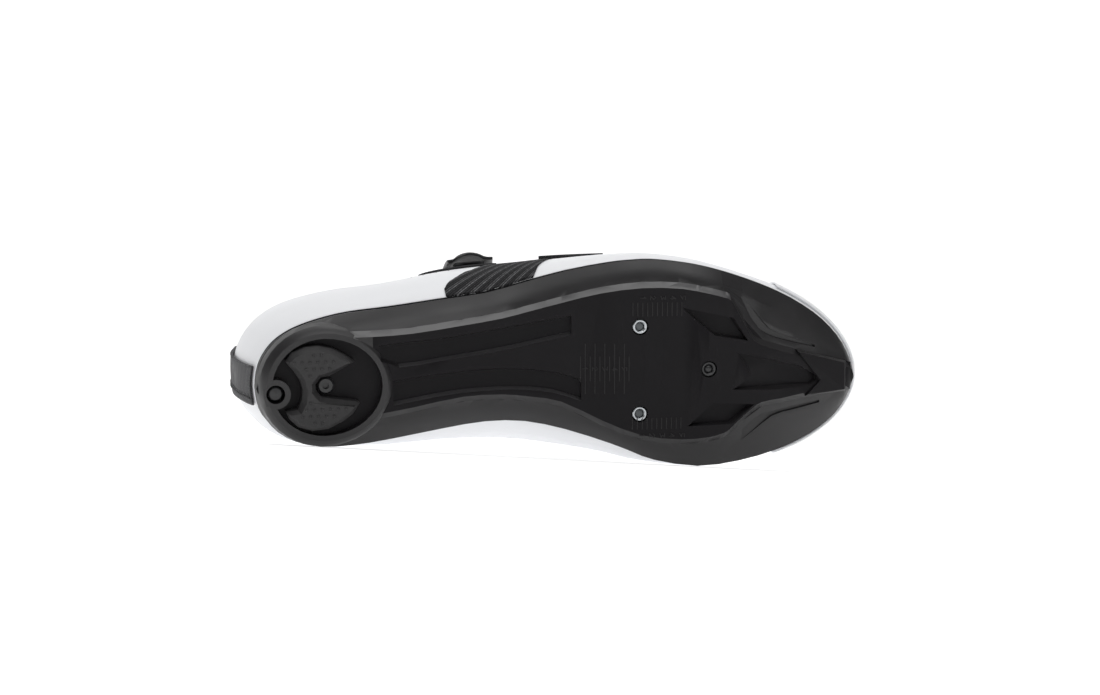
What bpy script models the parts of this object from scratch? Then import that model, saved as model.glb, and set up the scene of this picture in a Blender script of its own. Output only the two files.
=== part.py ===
"""Right-foot road cycling shoe, an assembly of separate pieces, lying on its medial side.

Every piece is modelled in the shoe's own standing frame: toe towards +X, the wearer's
lateral side towards -Y, the ground at z = 0. One parent empty then lays the whole shoe
on the floor, sole towards -Y and lateral side up. Lengths are in metres.
"""
import math

import bmesh
import bpy
import numpy as np
from mathutils import Matrix, Vector

# Driving sizes of the whole shoe
SHOE_LENGTH = 0.287
SOLE_LENGTH = 0.2778
SOLE_START = 0.0072
SOLE_BALL_WIDTH = 0.0959
SOLE_WAIST_WIDTH = 0.0580
SOLE_HEEL_WIDTH = 0.0575
UPPER_BALL_WIDTH = 0.100
HEEL_STACK = 0.018
ARCH_RISE = 0.008
TOE_SPRING = 0.0145
HEEL_HEIGHT = 0.070
ANKLE_HEIGHT = 0.051
INSTEP_HEIGHT = 0.066
VAMP_HEIGHT = 0.045
TOE_HEIGHT = 0.021

# Walls, gaps and steps
UPPER_WALL = 0.0026
SEAT_GAP = 0.0003
SOLE_EDGE_DRAFT = 0.0006
FLANK_BULGE = 0.0008
BEVEL_WIDTH = 0.0026
BEVEL_DROP = 0.0020
CUTTER_REACH = 0.0080

# Tread plate, grooves, vents and toe bumper
GROOVE_DEPTH = 0.0036
GROOVE_DRAFT = 0.0012
VENT_DEPTH = 0.0042
TOE_RECESS_DEPTH = 0.0030
WELL_DRAFT = 0.0008
WING_DEPTH = 0.0018
WING_DRAFT = 0.0006
BUMPER_RAISE = 0.0012
BUMPER_DRAFT = 0.0012

# Heel ring, replaceable heel pad and its fixings
HEEL_CENTRE_X = 0.0373
HEEL_CENTRE_Y = 0.0012
HEEL_RECESS_FRONT = 0.0257
HEEL_RECESS_BACK = 0.0235
HEEL_RECESS_SIDE = 0.0219
HEEL_RECESS_DEPTH = 0.0050
HEEL_RING_WALL = 0.0030
HEEL_PAD_BEVEL = 0.0021
HEEL_PAD_SIDE = 0.0055
STUD_X = 0.0154
STUD_Y = 0.0037
STUD_RADIUS = 0.0033
STUD_CLEARANCE = 0.0009
STUD_BOSS_RADIUS = 0.0067
STUD_LENGTH = 0.0075
SCREW_X = 0.0378
SCREW_Y = 0.0008
SCREW_RADIUS = 0.0038
SCREW_HEAD = 0.0028
SCREW_SOCKET_RADIUS = 0.0015

# Three-bolt cleat pattern
CLEAT_X = 0.1800
CLEAT_Y = -0.0016
CLEAT_ACROSS = 0.0400
CLEAT_FORE_AFT = 0.0314
NUT_RADIUS = 0.0035
NUT_BORE_RADIUS = 0.0020
NUT_LENGTH = 0.0050
NUT_CLEARANCE = 0.0003
NUT_SINK = 0.0004
NUT_RIM = 0.0005

# Insole, tongue, straps and buckle
SOLE_FLOOR = 0.0036
SOLE_CUP_WALL = 0.0065
INSOLE_THICKNESS = 0.0020
INSOLE_INSET = 0.0050
INSOLE_LIFT = 0.0004
TONGUE_THICKNESS = 0.0030
TONGUE_CLEARANCE = 0.0009
TONGUE_RISE = 0.0240
TONGUE_HALF_WIDTH = 0.0200
TONGUE_CROWN = 0.0080
TONGUE_LEAN = math.radians(56)
STRAP_THICKNESS = 0.0014
STRAP_LIFT = 0.0011
FOREFOOT_STRAP_X = 0.1427
FOREFOOT_STRAP_WIDTH = 0.0275
LADDER_THICKNESS = 0.0018
LADDER_X = 0.1062
LADDER_WIDTH = 0.0140
BUCKLE_X = 0.1030
BUCKLE_WIDTH = 0.0207
BUCKLE_FLANGE = 0.0032
BUCKLE_HEIGHT = 0.0042
BUCKLE_WALL = 0.0013
BUCKLE_LIFT = 0.0034
OVERLAY_LIFT = 0.0003
TOE_CAP_THICKNESS = 0.0009
HEEL_STRIP_WIDTH = 0.0165
HEEL_STRIP_THICKNESS = 0.0010

SIZES = {"heel": SOLE_HEEL_WIDTH, "waist": SOLE_WAIST_WIDTH, "ball": SOLE_BALL_WIDTH}
RISES = {
    "heel": HEEL_HEIGHT,
    "ankle": ANKLE_HEIGHT,
    "instep": INSTEP_HEIGHT,
    "vamp": VAMP_HEIGHT,
    "toe": TOE_HEIGHT,
}

# Sole outline from heel tip to toe tip: x as a share of SOLE_LENGTH, then the named
# width and the shares of it to the lateral and medial edges from the shoe's axis.
OUTLINE = (
    (0.0000, "heel", -0.031, 0.031),
    (0.0050, "heel", 0.125, 0.200),
    (0.0173, "heel", 0.240, 0.296),
    (0.0350, "heel", 0.334, 0.393),
    (0.0640, "heel", 0.416, 0.475),
    (0.1040, "heel", 0.480, 0.522),
    (0.1540, "heel", 0.530, 0.520),
    (0.2190, "waist", 0.548, 0.484),
    (0.3050, "waist", 0.590, 0.431),
    (0.3770, "waist", 0.628, 0.390),
    (0.4420, "waist", 0.708, 0.395),
    (0.5070, "ball", 0.481, 0.278),
    (0.5790, "ball", 0.522, 0.346),
    (0.6150, "ball", 0.532, 0.388),
    (0.6510, "ball", 0.535, 0.428),
    (0.7230, "ball", 0.505, 0.464),
    (0.7950, "ball", 0.441, 0.448),
    (0.8600, "ball", 0.363, 0.410),
    (0.9060, "ball", 0.288, 0.366),
    (0.9420, "ball", 0.212, 0.316),
    (0.9710, "ball", 0.126, 0.254),
    (0.9890, "ball", 0.045, 0.186),
    (0.9978, "ball", -0.020, 0.130),
    (1.0000, "ball", -0.076, 0.076),
)

# Heights along the sole: x as a share of SOLE_LENGTH, then shares of HEEL_STACK for
# the tread plate, the lower edge and the top, and the shares of ARCH_RISE and
# TOE_SPRING that are added to all three.
PROFILE = (
    (0.000, 0.40, 0.83, 1.00, 0.00, 0.00),
    (0.064, 0.23, 0.77, 1.00, 0.00, 0.00),
    (0.183, 0.22, 0.77, 1.00, 0.06, 0.00),
    (0.255, 0.27, 0.79, 1.00, 0.38, 0.00),
    (0.334, 0.26, 0.74, 0.92, 0.85, 0.00),
    (0.424, 0.20, 0.64, 0.81, 1.00, 0.00),
    (0.514, 0.12, 0.50, 0.66, 0.75, 0.00),
    (0.593, 0.05, 0.42, 0.57, 0.35, 0.00),
    (0.665, 0.02, 0.38, 0.53, 0.08, 0.00),
    (0.737, 0.00, 0.38, 0.53, 0.00, 0.00),
    (0.802, 0.00, 0.38, 0.53, 0.00, 0.09),
    (0.860, 0.00, 0.38, 0.53, 0.00, 0.28),
    (0.910, 0.00, 0.38, 0.53, 0.00, 0.52),
    (0.957, 0.01, 0.36, 0.50, 0.00, 0.78),
    (1.000, 0.05, 0.34, 0.46, 0.00, 1.00),
)

# Upper ribs, one row for each outline row: the named rise and the share of it from
# feather to top, the top's x as a share of SHOE_LENGTH and its lateral and medial y as
# shares of UPPER_BALL_WIDTH, how far the top line rounds over (0 open collar, 1 closed
# roof), then the wall's outward offset at three heights on the lateral and on the
# medial side, as shares of UPPER_BALL_WIDTH.
RIBS = (
    ("heel", 1.00, 0.031, 0.045, 0.045, 0.0, 0.045, 0.071, 0.024, 0.045, 0.071, 0.024),
    ("heel", 1.00, 0.034, -0.055, 0.135, 0.0, 0.045, 0.071, 0.024, 0.040, 0.066, 0.026),
    ("heel", 0.99, 0.042, -0.130, 0.205, 0.0, 0.043, 0.069, 0.023, 0.035, 0.062, 0.028),
    ("heel", 0.97, 0.058, -0.190, 0.254, 0.0, 0.041, 0.066, 0.024, 0.029, 0.059, 0.030),
    ("heel", 0.93, 0.086, -0.234, 0.292, 0.0, 0.040, 0.064, 0.027, 0.025, 0.059, 0.036),
    ("heel", 0.86, 0.128, -0.262, 0.312, 0.0, 0.040, 0.062, 0.029, 0.024, 0.060, 0.042),
    ("ankle", 1.06, 0.177, -0.275, 0.318, 0.0, 0.041, 0.063, 0.031, 0.025, 0.062, 0.048),
    ("ankle", 0.98, 0.240, -0.280, 0.316, 0.0, 0.045, 0.067, 0.031, 0.044, 0.086, 0.064),
    ("ankle", 1.12, 0.320, -0.264, 0.292, 0.2, 0.050, 0.072, 0.027, 0.070, 0.112, 0.078),
    ("instep", 1.00, 0.392, -0.215, 0.238, 0.7, 0.053, 0.070, 0.004, 0.100, 0.135, 0.068),
    ("instep", 0.95, 0.455, -0.170, 0.192, 1.0, 0.038, 0.040, -0.048, 0.104, 0.134, 0.038),
    ("instep", 0.86, 0.518, -0.142, 0.168, 1.0, 0.025, 0.012, -0.100, 0.092, 0.108, -0.016),
    ("instep", 0.77, 0.585, -0.125, 0.152, 1.0, 0.018, -0.010, -0.140, 0.066, 0.060, -0.082),
    ("instep", 0.73, 0.622, -0.085, 0.115, 1.0, 0.015, -0.016, -0.152, 0.054, 0.042, -0.112),
    ("vamp", 1.03, 0.652, 0.016, 0.016, 1.0, 0.013, -0.018, -0.160, 0.034, 0.020, -0.138),
    ("vamp", 0.91, 0.718, 0.022, 0.022, 1.0, 0.012, -0.014, -0.156, 0.020, 0.006, -0.146),
    ("vamp", 0.80, 0.781, 0.036, 0.036, 1.0, 0.012, -0.010, -0.124, 0.021, 0.004, -0.128),
    ("vamp", 0.66, 0.830, 0.050, 0.050, 1.0, 0.017, 0.000, -0.094, 0.026, 0.010, -0.094),
    ("vamp", 0.56, 0.866, 0.060, 0.060, 1.0, 0.020, 0.006, -0.070, 0.033, 0.016, -0.072),
    ("toe", 1.02, 0.892, 0.067, 0.067, 1.0, 0.021, 0.009, -0.060, 0.029, 0.015, -0.060),
    ("toe", 0.90, 0.910, 0.071, 0.071, 1.0, 0.022, 0.011, -0.052, 0.026, 0.013, -0.052),
    ("toe", 0.82, 0.921, 0.074, 0.074, 1.0, 0.022, 0.012, -0.048, 0.024, 0.012, -0.048),
    ("toe", 0.79, 0.928, 0.076, 0.076, 1.0, 0.022, 0.012, -0.046, 0.023, 0.012, -0.046),
    ("toe", 0.78, 0.931, 0.077, 0.077, 1.0, 0.022, 0.012, -0.045, 0.022, 0.012, -0.045),
)
RIB_LEVELS = (0.18, 0.48, 0.80)
THROAT_END = 14
TOE_CAP_START = 17
TONGUE_START = 8.5
TONGUE_END = 14.5
HEEL_STRIP_START = 0.03
HEEL_STRIP_END = 0.98
SOLE_CUP_START = 1.0
SOLE_CUP_END = 13.5
WALL_LEVELS = (0.0, 0.10, 0.22, 0.34, 0.46, 0.58, 0.70, 0.82, 0.92, 1.0)
TIP = len(OUTLINE) - 1
AROUND = 2 * TIP

# How far the straps and the buckle reach across the upper, as its v from one side's
# feather (0) over the throat (1 to 2) to the other side's feather (3).
FOREFOOT_REACH = (0.58, 2.42)
LADDER_REACH = (0.66, 2.40)
BUCKLE_REACH = (0.66, 0.93)

# Tread plate's outer line: x as a share of SOLE_LENGTH, then the lateral and medial
# edges as shares of SOLE_BALL_WIDTH.
PLATE = (
    (0.150, 0.243, 0.205),
    (0.186, 0.243, 0.180),
    (0.250, 0.246, 0.158),
    (0.335, 0.270, 0.123),
    (0.400, 0.297, 0.119),
    (0.447, 0.330, 0.133),
    (0.496, 0.367, 0.158),
    (0.560, 0.413, 0.247),
    (0.625, 0.437, 0.321),
    (0.690, 0.431, 0.344),
    (0.735, 0.404, 0.338),
    (0.762, 0.382, 0.320),
    (0.771, 0.370, 0.305),
    (0.779, 0.335, 0.284),
    (0.798, 0.234, 0.238),
    (0.811, 0.174, 0.208),
    (0.826, 0.146, 0.183),
    (0.860, 0.112, 0.172),
    (0.900, 0.076, 0.157),
    (0.945, 0.036, 0.148),
    (0.983, 0.005, 0.144),
)

# Grooves of the waist: x as a share of SOLE_LENGTH, then the two edges as shares of
# SOLE_BALL_WIDTH, positive towards the medial side.
LATERAL_GROOVE = (
    (0.198, -0.174, -0.100),
    (0.222, -0.181, -0.064),
    (0.310, -0.192, -0.083),
    (0.398, -0.226, -0.115),
    (0.470, -0.260, -0.158),
    (0.512, -0.282, -0.187),
)
MEDIAL_GROOVE = (
    (0.219, -0.004, 0.116),
    (0.278, -0.018, 0.094),
    (0.330, -0.028, 0.079),
    (0.372, -0.035, 0.073),
    (0.415, -0.033, 0.072),
    (0.448, -0.028, 0.077),
    (0.484, -0.014, 0.090),
    (0.528, 0.022, 0.130),
)

# Four-cornered vents, as shares of SOLE_LENGTH and SOLE_BALL_WIDTH.
LATERAL_VENT = ((0.690, -0.314), (0.776, -0.258), (0.802, -0.144), (0.744, -0.177))
MEDIAL_VENT = ((0.743, 0.147), (0.814, 0.164), (0.776, 0.252), (0.700, 0.255))

# Recess behind the toe bumper and the bumper's arrow-shaped rear edge.
TOE_RECESS = (
    (0.783, -0.089),
    (0.846, -0.047),
    (0.892, -0.010),
    (0.926, 0.045),
    (0.927, 0.072),
    (0.917, 0.091),
    (0.860, 0.100),
    (0.776, 0.087),
    (0.799, 0.044),
    (0.805, 0.010),
    (0.800, -0.028),
)
BUMPER = (
    (0.888, -0.086),
    (0.982, -0.006),
    (0.982, 0.136),
    (0.906, 0.144),
    (0.930, 0.080),
)

# Sunk wings beside the nose of the plate: x share, inner edge, outer edge.
LATERAL_WING = (
    (0.792, -0.340, -0.358),
    (0.815, -0.215, -0.290),
    (0.838, -0.160, -0.205),
    (0.880, -0.118, -0.150),
    (0.925, -0.082, -0.098),
)
MEDIAL_WING = (
    (0.795, 0.285, 0.347),
    (0.822, 0.218, 0.290),
    (0.850, 0.203, 0.234),
    (0.890, 0.184, 0.212),
    (0.935, 0.172, 0.192),
)

# Heel pad: a fish-tail outline round its screw, offsets from the heel's centre as
# shares of HEEL_RECESS_SIDE, lateral negative.
HEEL_PAD = (
    (-0.800, -0.560),
    (-0.670, -0.740),
    (-0.400, -0.850),
    (-0.140, -0.870),
    (0.160, -0.800),
    (0.410, -0.660),
    (0.600, -0.520),
    (0.080, -0.240),
    (-0.090, -0.215),
    (-0.195, -0.080),
    (-0.195, 0.040),
    (-0.090, 0.175),
    (0.030, 0.205),
    (0.640, 0.300),
    (0.700, 0.330),
    (0.560, 0.550),
    (0.360, 0.700),
    (0.050, 0.850),
    (-0.270, 0.880),
    (-0.560, 0.790),
    (-0.740, 0.620),
    (-0.800, 0.470),
    (-0.560, 0.430),
    (-0.480, 0.240),
    (-0.460, 0.030),
    (-0.510, -0.160),
    (-0.630, -0.350),
)


def clear_scene():
    for item in list(bpy.data.objects):
        bpy.data.objects.remove(item, do_unlink=True)


def new_collection(name):
    made = bpy.data.collections.new(name)
    bpy.context.scene.collection.children.link(made)
    return made


def material(name, colour, roughness, metallic=0.0):
    made = bpy.data.materials.new(name)
    made.use_nodes = True
    shader = made.node_tree.nodes["Principled BSDF"]
    shader.inputs["Base Color"].default_value = (*colour, 1.0)
    shader.inputs["Roughness"].default_value = roughness
    shader.inputs["Metallic"].default_value = metallic
    return made


def mesh_object(name, mesh, look=None):
    """A piece with its look, or without one a hidden cutter or form."""
    made = bpy.data.objects.new(name, mesh)
    made.parent = stand
    if look:
        parts.objects.link(made)
        mesh.materials.append(look)
        return made
    cutters.objects.link(made)
    made.hide_render = True
    made.display_type = "WIRE"
    return made


def finish_mesh(name, grid):
    mesh = bpy.data.meshes.new(name)
    grid.to_mesh(mesh)
    grid.free()
    mesh.shade_smooth()
    mesh.set_sharp_from_angle(angle=math.radians(32))
    return mesh


def loft(name, sections, look=None, capped=True):
    """A closed solid through rings of equally many points."""
    grid = bmesh.new()
    rings = [[grid.verts.new(point) for point in section] for section in sections]
    count = len(rings[0])
    for first, second in zip(rings, rings[1:]):
        for i in range(count):
            j = (i + 1) % count
            grid.faces.new((first[i], first[j], second[j], second[i]))
    if capped:
        grid.faces.new(rings[0])
        grid.faces.new(list(reversed(rings[-1])))
    bmesh.ops.remove_doubles(grid, verts=grid.verts, dist=2e-6)
    bmesh.ops.recalc_face_normals(grid, faces=grid.faces)
    return mesh_object(name, finish_mesh(name, grid), look)


def turned(name, profile, centre, look=None, closed=False, steps=24):
    """A turned piece: its profile runs down the outer side, as (radius, height)."""
    mesh = bpy.data.meshes.new(name)
    count = len(profile)
    edges = [(i, i + 1) for i in range(count - 1)]
    if closed:
        edges.append((count - 1, 0))
    mesh.from_pydata([(radius, 0.0, height) for radius, height in profile], edges, [])
    made = mesh_object(name, mesh, look)
    made.location = centre
    screw = made.modifiers.new("Turn", "SCREW")
    screw.axis = "Z"
    screw.steps = steps
    screw.render_steps = steps
    screw.use_merge_vertices = True
    screw.merge_threshold = 1e-5
    screw.use_smooth_shade = False
    return made


def boolean(target, tool, operation):
    change = target.modifiers.new(tool.name, "BOOLEAN")
    change.operation = operation
    change.object = tool
    change.solver = "EXACT"


def eased(table, x):
    """The columns of a table at x, on smooth curves through its rows."""
    rows = np.array(table, float)
    xs = rows[:, 0]
    x = min(max(x, xs[0]), xs[-1])
    i = min(int(np.searchsorted(xs, x, side="right")) - 1, len(xs) - 2)

    def slope(k):
        low = max(k - 1, 0)
        high = min(k + 1, len(xs) - 1)
        return (rows[high] - rows[low]) / (xs[high] - xs[low])

    span = xs[i + 1] - xs[i]
    f = (x - xs[i]) / span
    return (
        rows[i] * (2 * f**3 - 3 * f**2 + 1)
        + slope(i) * span * (f**3 - 2 * f**2 + f)
        + rows[i + 1] * (3 * f**2 - 2 * f**3)
        + slope(i + 1) * span * (f**3 - f**2)
    )


def through(before, start, end, after, f):
    """A point between start and end on the smooth curve through all four."""
    first = (end - before) / 2
    last = (after - start) / 2
    return (
        start * (2 * f**3 - 3 * f**2 + 1)
        + first * (f**3 - 2 * f**2 + f)
        + end * (3 * f**2 - 2 * f**3)
        + last * (f**3 - f**2)
    )


def heights(x):
    """Tread plate, lower edge and top of the sole at x."""
    _, plate, edge, top, arch, spring = eased(PROFILE, (x - SOLE_START) / SOLE_LENGTH)
    lift = arch * ARCH_RISE + spring * TOE_SPRING
    return plate * HEEL_STACK + lift, edge * HEEL_STACK + lift, top * HEEL_STACK + lift


def rib_row(step):
    """One rib's sizes: feather x and y, rise, top x and y, rounding and three offsets."""
    step = step % AROUND
    medial = step > TIP
    row = AROUND - step if medial else step
    x, size, lateral_edge, medial_edge = OUTLINE[row]
    rise, share, top_x, lateral_top, medial_top, roof = RIBS[row][:6]
    offsets = RIBS[row][9:12] if medial else RIBS[row][6:9]
    y = SIZES[size] * (medial_edge if medial else -lateral_edge)
    top_y = UPPER_BALL_WIDTH * (medial_top if medial else lateral_top)
    return np.array(
        [
            SOLE_START + x * SOLE_LENGTH,
            y,
            RISES[rise] * share,
            top_x * SHOE_LENGTH,
            top_y,
            roof,
            *(UPPER_BALL_WIDTH * offset for offset in offsets),
        ]
    )


ROWS = [rib_row(step) for step in range(AROUND)]


def rib(u):
    """The rib at u rows round the shoe, from the heel tip along the lateral side."""
    i = math.floor(u)
    near = [ROWS[(i + k) % AROUND] for k in (-1, 0, 1, 2)]
    return through(*near, u - i)


def outward(u):
    ahead = rib(u + 0.01)[:2] - rib(u - 0.01)[:2]
    return np.array([-ahead[1], ahead[0]]) / -np.hypot(*ahead)


def rib_points(u):
    """Feather, three wall points and top of the rib at u, and how far it rounds over."""
    row = rib(u)
    out = outward(u)
    foot = np.array([row[0], row[1], heights(row[0])[2] + SEAT_GAP])
    points = [foot]
    for level, offset in zip(RIB_LEVELS, row[6:9]):
        plan = row[:2] + out * offset
        points.append(np.array([*plan, foot[2] + level * row[2]]))
    top_y = row[4]
    if THROAT_END <= u <= AROUND - THROAT_END:
        top_y = (row[4] + rib(AROUND - u)[4]) / 2
    points.append(np.array([row[3], top_y, foot[2] + row[2]]))
    return points, row[5]


def upper_point(u, v):
    """The upper's outer face across the shoe at u: v 0 to 1 is the rib at u, 1 to 2 the
    bridge over the throat, 2 to 3 the rib on the other side, downwards."""
    if v > 2:
        return upper_point(AROUND - u, 3 - v)
    own, roof = rib_points(u)
    other, _ = rib_points(AROUND - u)
    gap = np.linalg.norm(own[4] - other[4])
    closed = min(max(1 - gap / (0.2 * UPPER_BALL_WIDTH), 0), 1)
    beyond = other[4] + (other[3] - other[4]) * closed
    free = 2 * own[4] - own[3]
    ending = free * (1 - roof) + beyond * roof
    if v > 1 and gap < 1e-5:
        return own[4]
    if v > 1:
        return through(own[3], own[4], other[4], other[3], v - 1)
    bounds = (0.0, 0.26, 0.54, 0.80, 1.0)
    k = max(i for i in range(4) if v >= bounds[i])
    f = (v - bounds[k]) / (bounds[k + 1] - bounds[k])
    start = 2 * own[0] - own[1]
    line = [start, *own, ending]
    return through(line[k], line[k + 1], line[k + 2], line[k + 3], f)


def upper_normal(u, v):
    """The outward direction of upper_point, also where the bridge has no width."""
    step_u = 0.02
    if 1 <= v <= 2 and np.linalg.norm(upper_point(u, 1) - upper_point(u, 2)) < 1e-5:
        low, high = 0.97, 2.03
    else:
        low, high = max(v - 0.004, 0), min(v + 0.004, 3)
    across = upper_point(u, high) - upper_point(u, low)
    along = upper_point(u + step_u, v) - upper_point(u - step_u, v)
    normal = np.cross(along, across)
    if u > TIP:
        normal = -normal
    middle = np.array([upper_point(u, v)[0], 0.0, 0.045])
    if np.dot(normal, upper_point(u, v) - middle) < 0:
        normal = -normal
    return normal / np.linalg.norm(normal)


def skin(name, us, vs, lift, thickness, look):
    """A sheet of the upper's own form, thickened outwards or, if negative, inwards."""
    grid = bmesh.new()
    rows = [[grid.verts.new(upper_point(u, v)) for v in vs] for u in us]
    for first, second in zip(rows, rows[1:]):
        for j in range(len(vs) - 1):
            grid.faces.new((first[j], first[j + 1], second[j + 1], second[j]))
    if us[-1] - us[0] > AROUND - 1.5:
        for j in range(len(vs) - 1):
            grid.faces.new((rows[-1][j], rows[-1][j + 1], rows[0][j + 1], rows[0][j]))
    bmesh.ops.remove_doubles(grid, verts=grid.verts, dist=2e-6)
    bmesh.ops.recalc_face_normals(grid, faces=grid.faces)
    grid.normal_update()
    middle = Vector((SHOE_LENGTH / 2, 0.0, HEEL_STACK + INSTEP_HEIGHT / 2))
    facing = sum(face.normal.dot(face.calc_center_median() - middle) for face in grid.faces)
    if facing < 0:
        bmesh.ops.reverse_faces(grid, faces=grid.faces)
        grid.normal_update()
    normals = [vert.normal.copy() for vert in grid.verts]
    for vert, normal in zip(grid.verts, normals):
        vert.co += normal * lift
    made = mesh_object(name, finish_mesh(name, grid), look)
    wall = made.modifiers.new("Wall", "SOLIDIFY")
    wall.thickness = abs(thickness)
    wall.offset = 1.0 if thickness > 0 else -1.0
    wall.use_even_offset = False
    wall.use_rim = True
    return made


def slab(name, rows, look):
    """A closed solid from rows of (inner, outer) point pairs."""
    sections = []
    for row in rows:
        inner = [pair[0] for pair in row]
        outer = [pair[1] for pair in row]
        sections.append(inner + outer[::-1])
    return loft(name, sections, look)


def lifted(u, v, low, high):
    """The two points over the upper's face at the given heights."""
    point = upper_point(u, v)
    normal = upper_normal(u, v)
    return point + normal * low, point + normal * high


def row_at(x):
    """How many rows round the lateral side the feather reaches x."""
    low, high = 0.0, float(TIP)
    for _ in range(40):
        middle = (low + high) / 2
        if rib(middle)[0] < x:
            low = middle
        else:
            high = middle
    return (low + high) / 2


def plate_edges(x):
    _, lateral, medial = eased(PLATE, (x - SOLE_START) / SOLE_LENGTH)
    return -lateral * SOLE_BALL_WIDTH, medial * SOLE_BALL_WIDTH


def sole_section(u):
    """The moulded sole across at u, without its tread plate."""
    lateral = rib(u)
    medial = rib(AROUND - u)
    x = lateral[0]
    y_lateral = lateral[1]
    y_medial = medial[1]
    width = y_medial - y_lateral
    plate, edge, top = heights(x)
    inset = min(HEEL_RING_WALL * 2.2, 0.42 * width)
    near_lateral = y_lateral + inset
    near_medial = y_medial - inset
    front = SOLE_START + PLATE[-1][0] * SOLE_LENGTH
    if x > SOLE_START + PLATE[0][0] * SOLE_LENGTH and x < front:
        near_lateral, near_medial = plate_edges(x)
    low = plate + BEVEL_DROP
    draft = min(SOLE_EDGE_DRAFT, 0.2 * width)

    def flank(y_edge, y_near, share):
        y = y_edge + (y_near - y_edge) * share
        drop = FLANK_BULGE * math.sin(math.pi * share)
        return (x, y, edge + (low - edge) * share - drop)

    return [
        (x, y_lateral + draft, top),
        (x, y_lateral, edge),
        flank(y_lateral, near_lateral, 0.35),
        flank(y_lateral, near_lateral, 0.70),
        (x, near_lateral, low),
        (x, near_medial, low),
        flank(y_medial, near_medial, 0.70),
        flank(y_medial, near_medial, 0.35),
        (x, y_medial, edge),
        (x, y_medial - draft, top),
    ]


def plate_section(x, lift=0.0, narrow=0.0):
    lateral, medial = plate_edges(x)
    low = heights(x)[0]
    shoulder = low + BEVEL_DROP
    lateral += narrow
    medial -= narrow
    return [
        (x, lateral, shoulder + BEVEL_DROP),
        (x, lateral, shoulder),
        (x, lateral + BEVEL_WIDTH, low + lift),
        (x, medial - BEVEL_WIDTH, low + lift),
        (x, medial, shoulder),
        (x, medial, shoulder + BEVEL_DROP),
    ]


def sole_x(share):
    return SOLE_START + share * SOLE_LENGTH


def make_plate():
    stations = []
    for first, second in zip(PLATE, PLATE[1:]):
        stations += [first[0], (first[0] + second[0]) / 2]
    stations.append(PLATE[-1][0])
    sections = [plate_section(sole_x(share)) for share in stations]
    front = sole_x(PLATE[-1][0])
    nose = plate_section(front, lift=BEVEL_DROP, narrow=BEVEL_WIDTH * 0.3)
    sections.append([(x + BEVEL_WIDTH, y, z) for x, y, z in nose])
    return loft("plate_form", sections)


def egg(angle, grow=0.0):
    """A point of the heel recess's egg-shaped edge, grown outwards."""
    reach = HEEL_RECESS_FRONT if math.cos(angle) > 0 else HEEL_RECESS_BACK
    x = HEEL_CENTRE_X + (reach + grow) * math.cos(angle)
    return x, HEEL_CENTRE_Y + (HEEL_RECESS_SIDE + grow) * math.sin(angle)


def egg_ring(grow, z, count=40):
    return [(*egg(2 * math.pi * i / count, grow), z) for i in range(count)]


def make_heel_ring():
    low = heights(HEEL_CENTRE_X)[0]
    rise = HEEL_RING_WALL
    levels = (
        (2.1 * rise, low + 2.6 * rise),
        (1.8 * rise, low + 1.2 * rise),
        (1.3 * rise, low + 0.35 * rise),
        (0.8 * rise, low),
        (-0.5 * rise, low),
    )
    return loft("heel_ring_form", [egg_ring(grow, z) for grow, z in levels])


def make_heel_recess():
    low = heights(HEEL_CENTRE_X)[0]
    rings = [egg_ring(0.0, low - CUTTER_REACH), egg_ring(0.0, low + HEEL_RECESS_DEPTH)]
    recess = loft("heel_recess_cutter", rings)
    boss = cylinder("stud_boss_form", STUD_X, STUD_Y, STUD_BOSS_RADIUS, -CUTTER_REACH, HEEL_STACK)
    boolean(recess, boss, "DIFFERENCE")
    return recess


def cylinder(name, x, y, radius, low, high, look=None, steps=24):
    grid = bmesh.new()
    bmesh.ops.create_cone(
        grid,
        cap_ends=True,
        segments=steps,
        radius1=radius,
        radius2=radius,
        depth=high - low,
        matrix=Matrix.Translation((x, y, (low + high) / 2)),
    )
    return mesh_object(name, finish_mesh(name, grid), look)


def groove_cutter(name, table, depth, draft):
    """A trough that follows the plate's underside between two edges."""
    sections = []
    count = 2 * (len(table) - 1)
    for i in range(count + 1):
        share = table[0][0] + (table[-1][0] - table[0][0]) * i / count
        _, first, second = eased(table, share)
        x = sole_x(share)
        low = heights(x)[0]
        near, far = first * SOLE_BALL_WIDTH, second * SOLE_BALL_WIDTH
        if near > far:
            near, far = far, near
        slope = min(draft, 0.3 * (far - near))
        sections.append(
            [
                (x, near, low - CUTTER_REACH),
                (x, near, low - BEVEL_DROP / 4),
                (x, near + slope, low + depth),
                (x, far - slope, low + depth),
                (x, far, low - BEVEL_DROP / 4),
                (x, far, low - CUTTER_REACH),
            ]
        )
    return loft(name, sections)


def well_cutter(name, corners, depth):
    """A straight-sided well under the plate, its floor parallel to the plate."""
    points = [Vector((sole_x(x), y * SOLE_BALL_WIDTH)) for x, y in corners]
    centre = sum(points, Vector((0.0, 0.0))) / len(points)
    rings = []
    for inset, drop in ((0.0, -CUTTER_REACH), (0.0, 0.0), (WELL_DRAFT, depth)):
        ring = []
        for point in points:
            inward = (centre - point).normalized() * inset
            low = heights(point.x)[0]
            ring.append((point.x + inward.x, point.y + inward.y, low + drop))
        rings.append(ring)
    return loft(name, rings)


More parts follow.
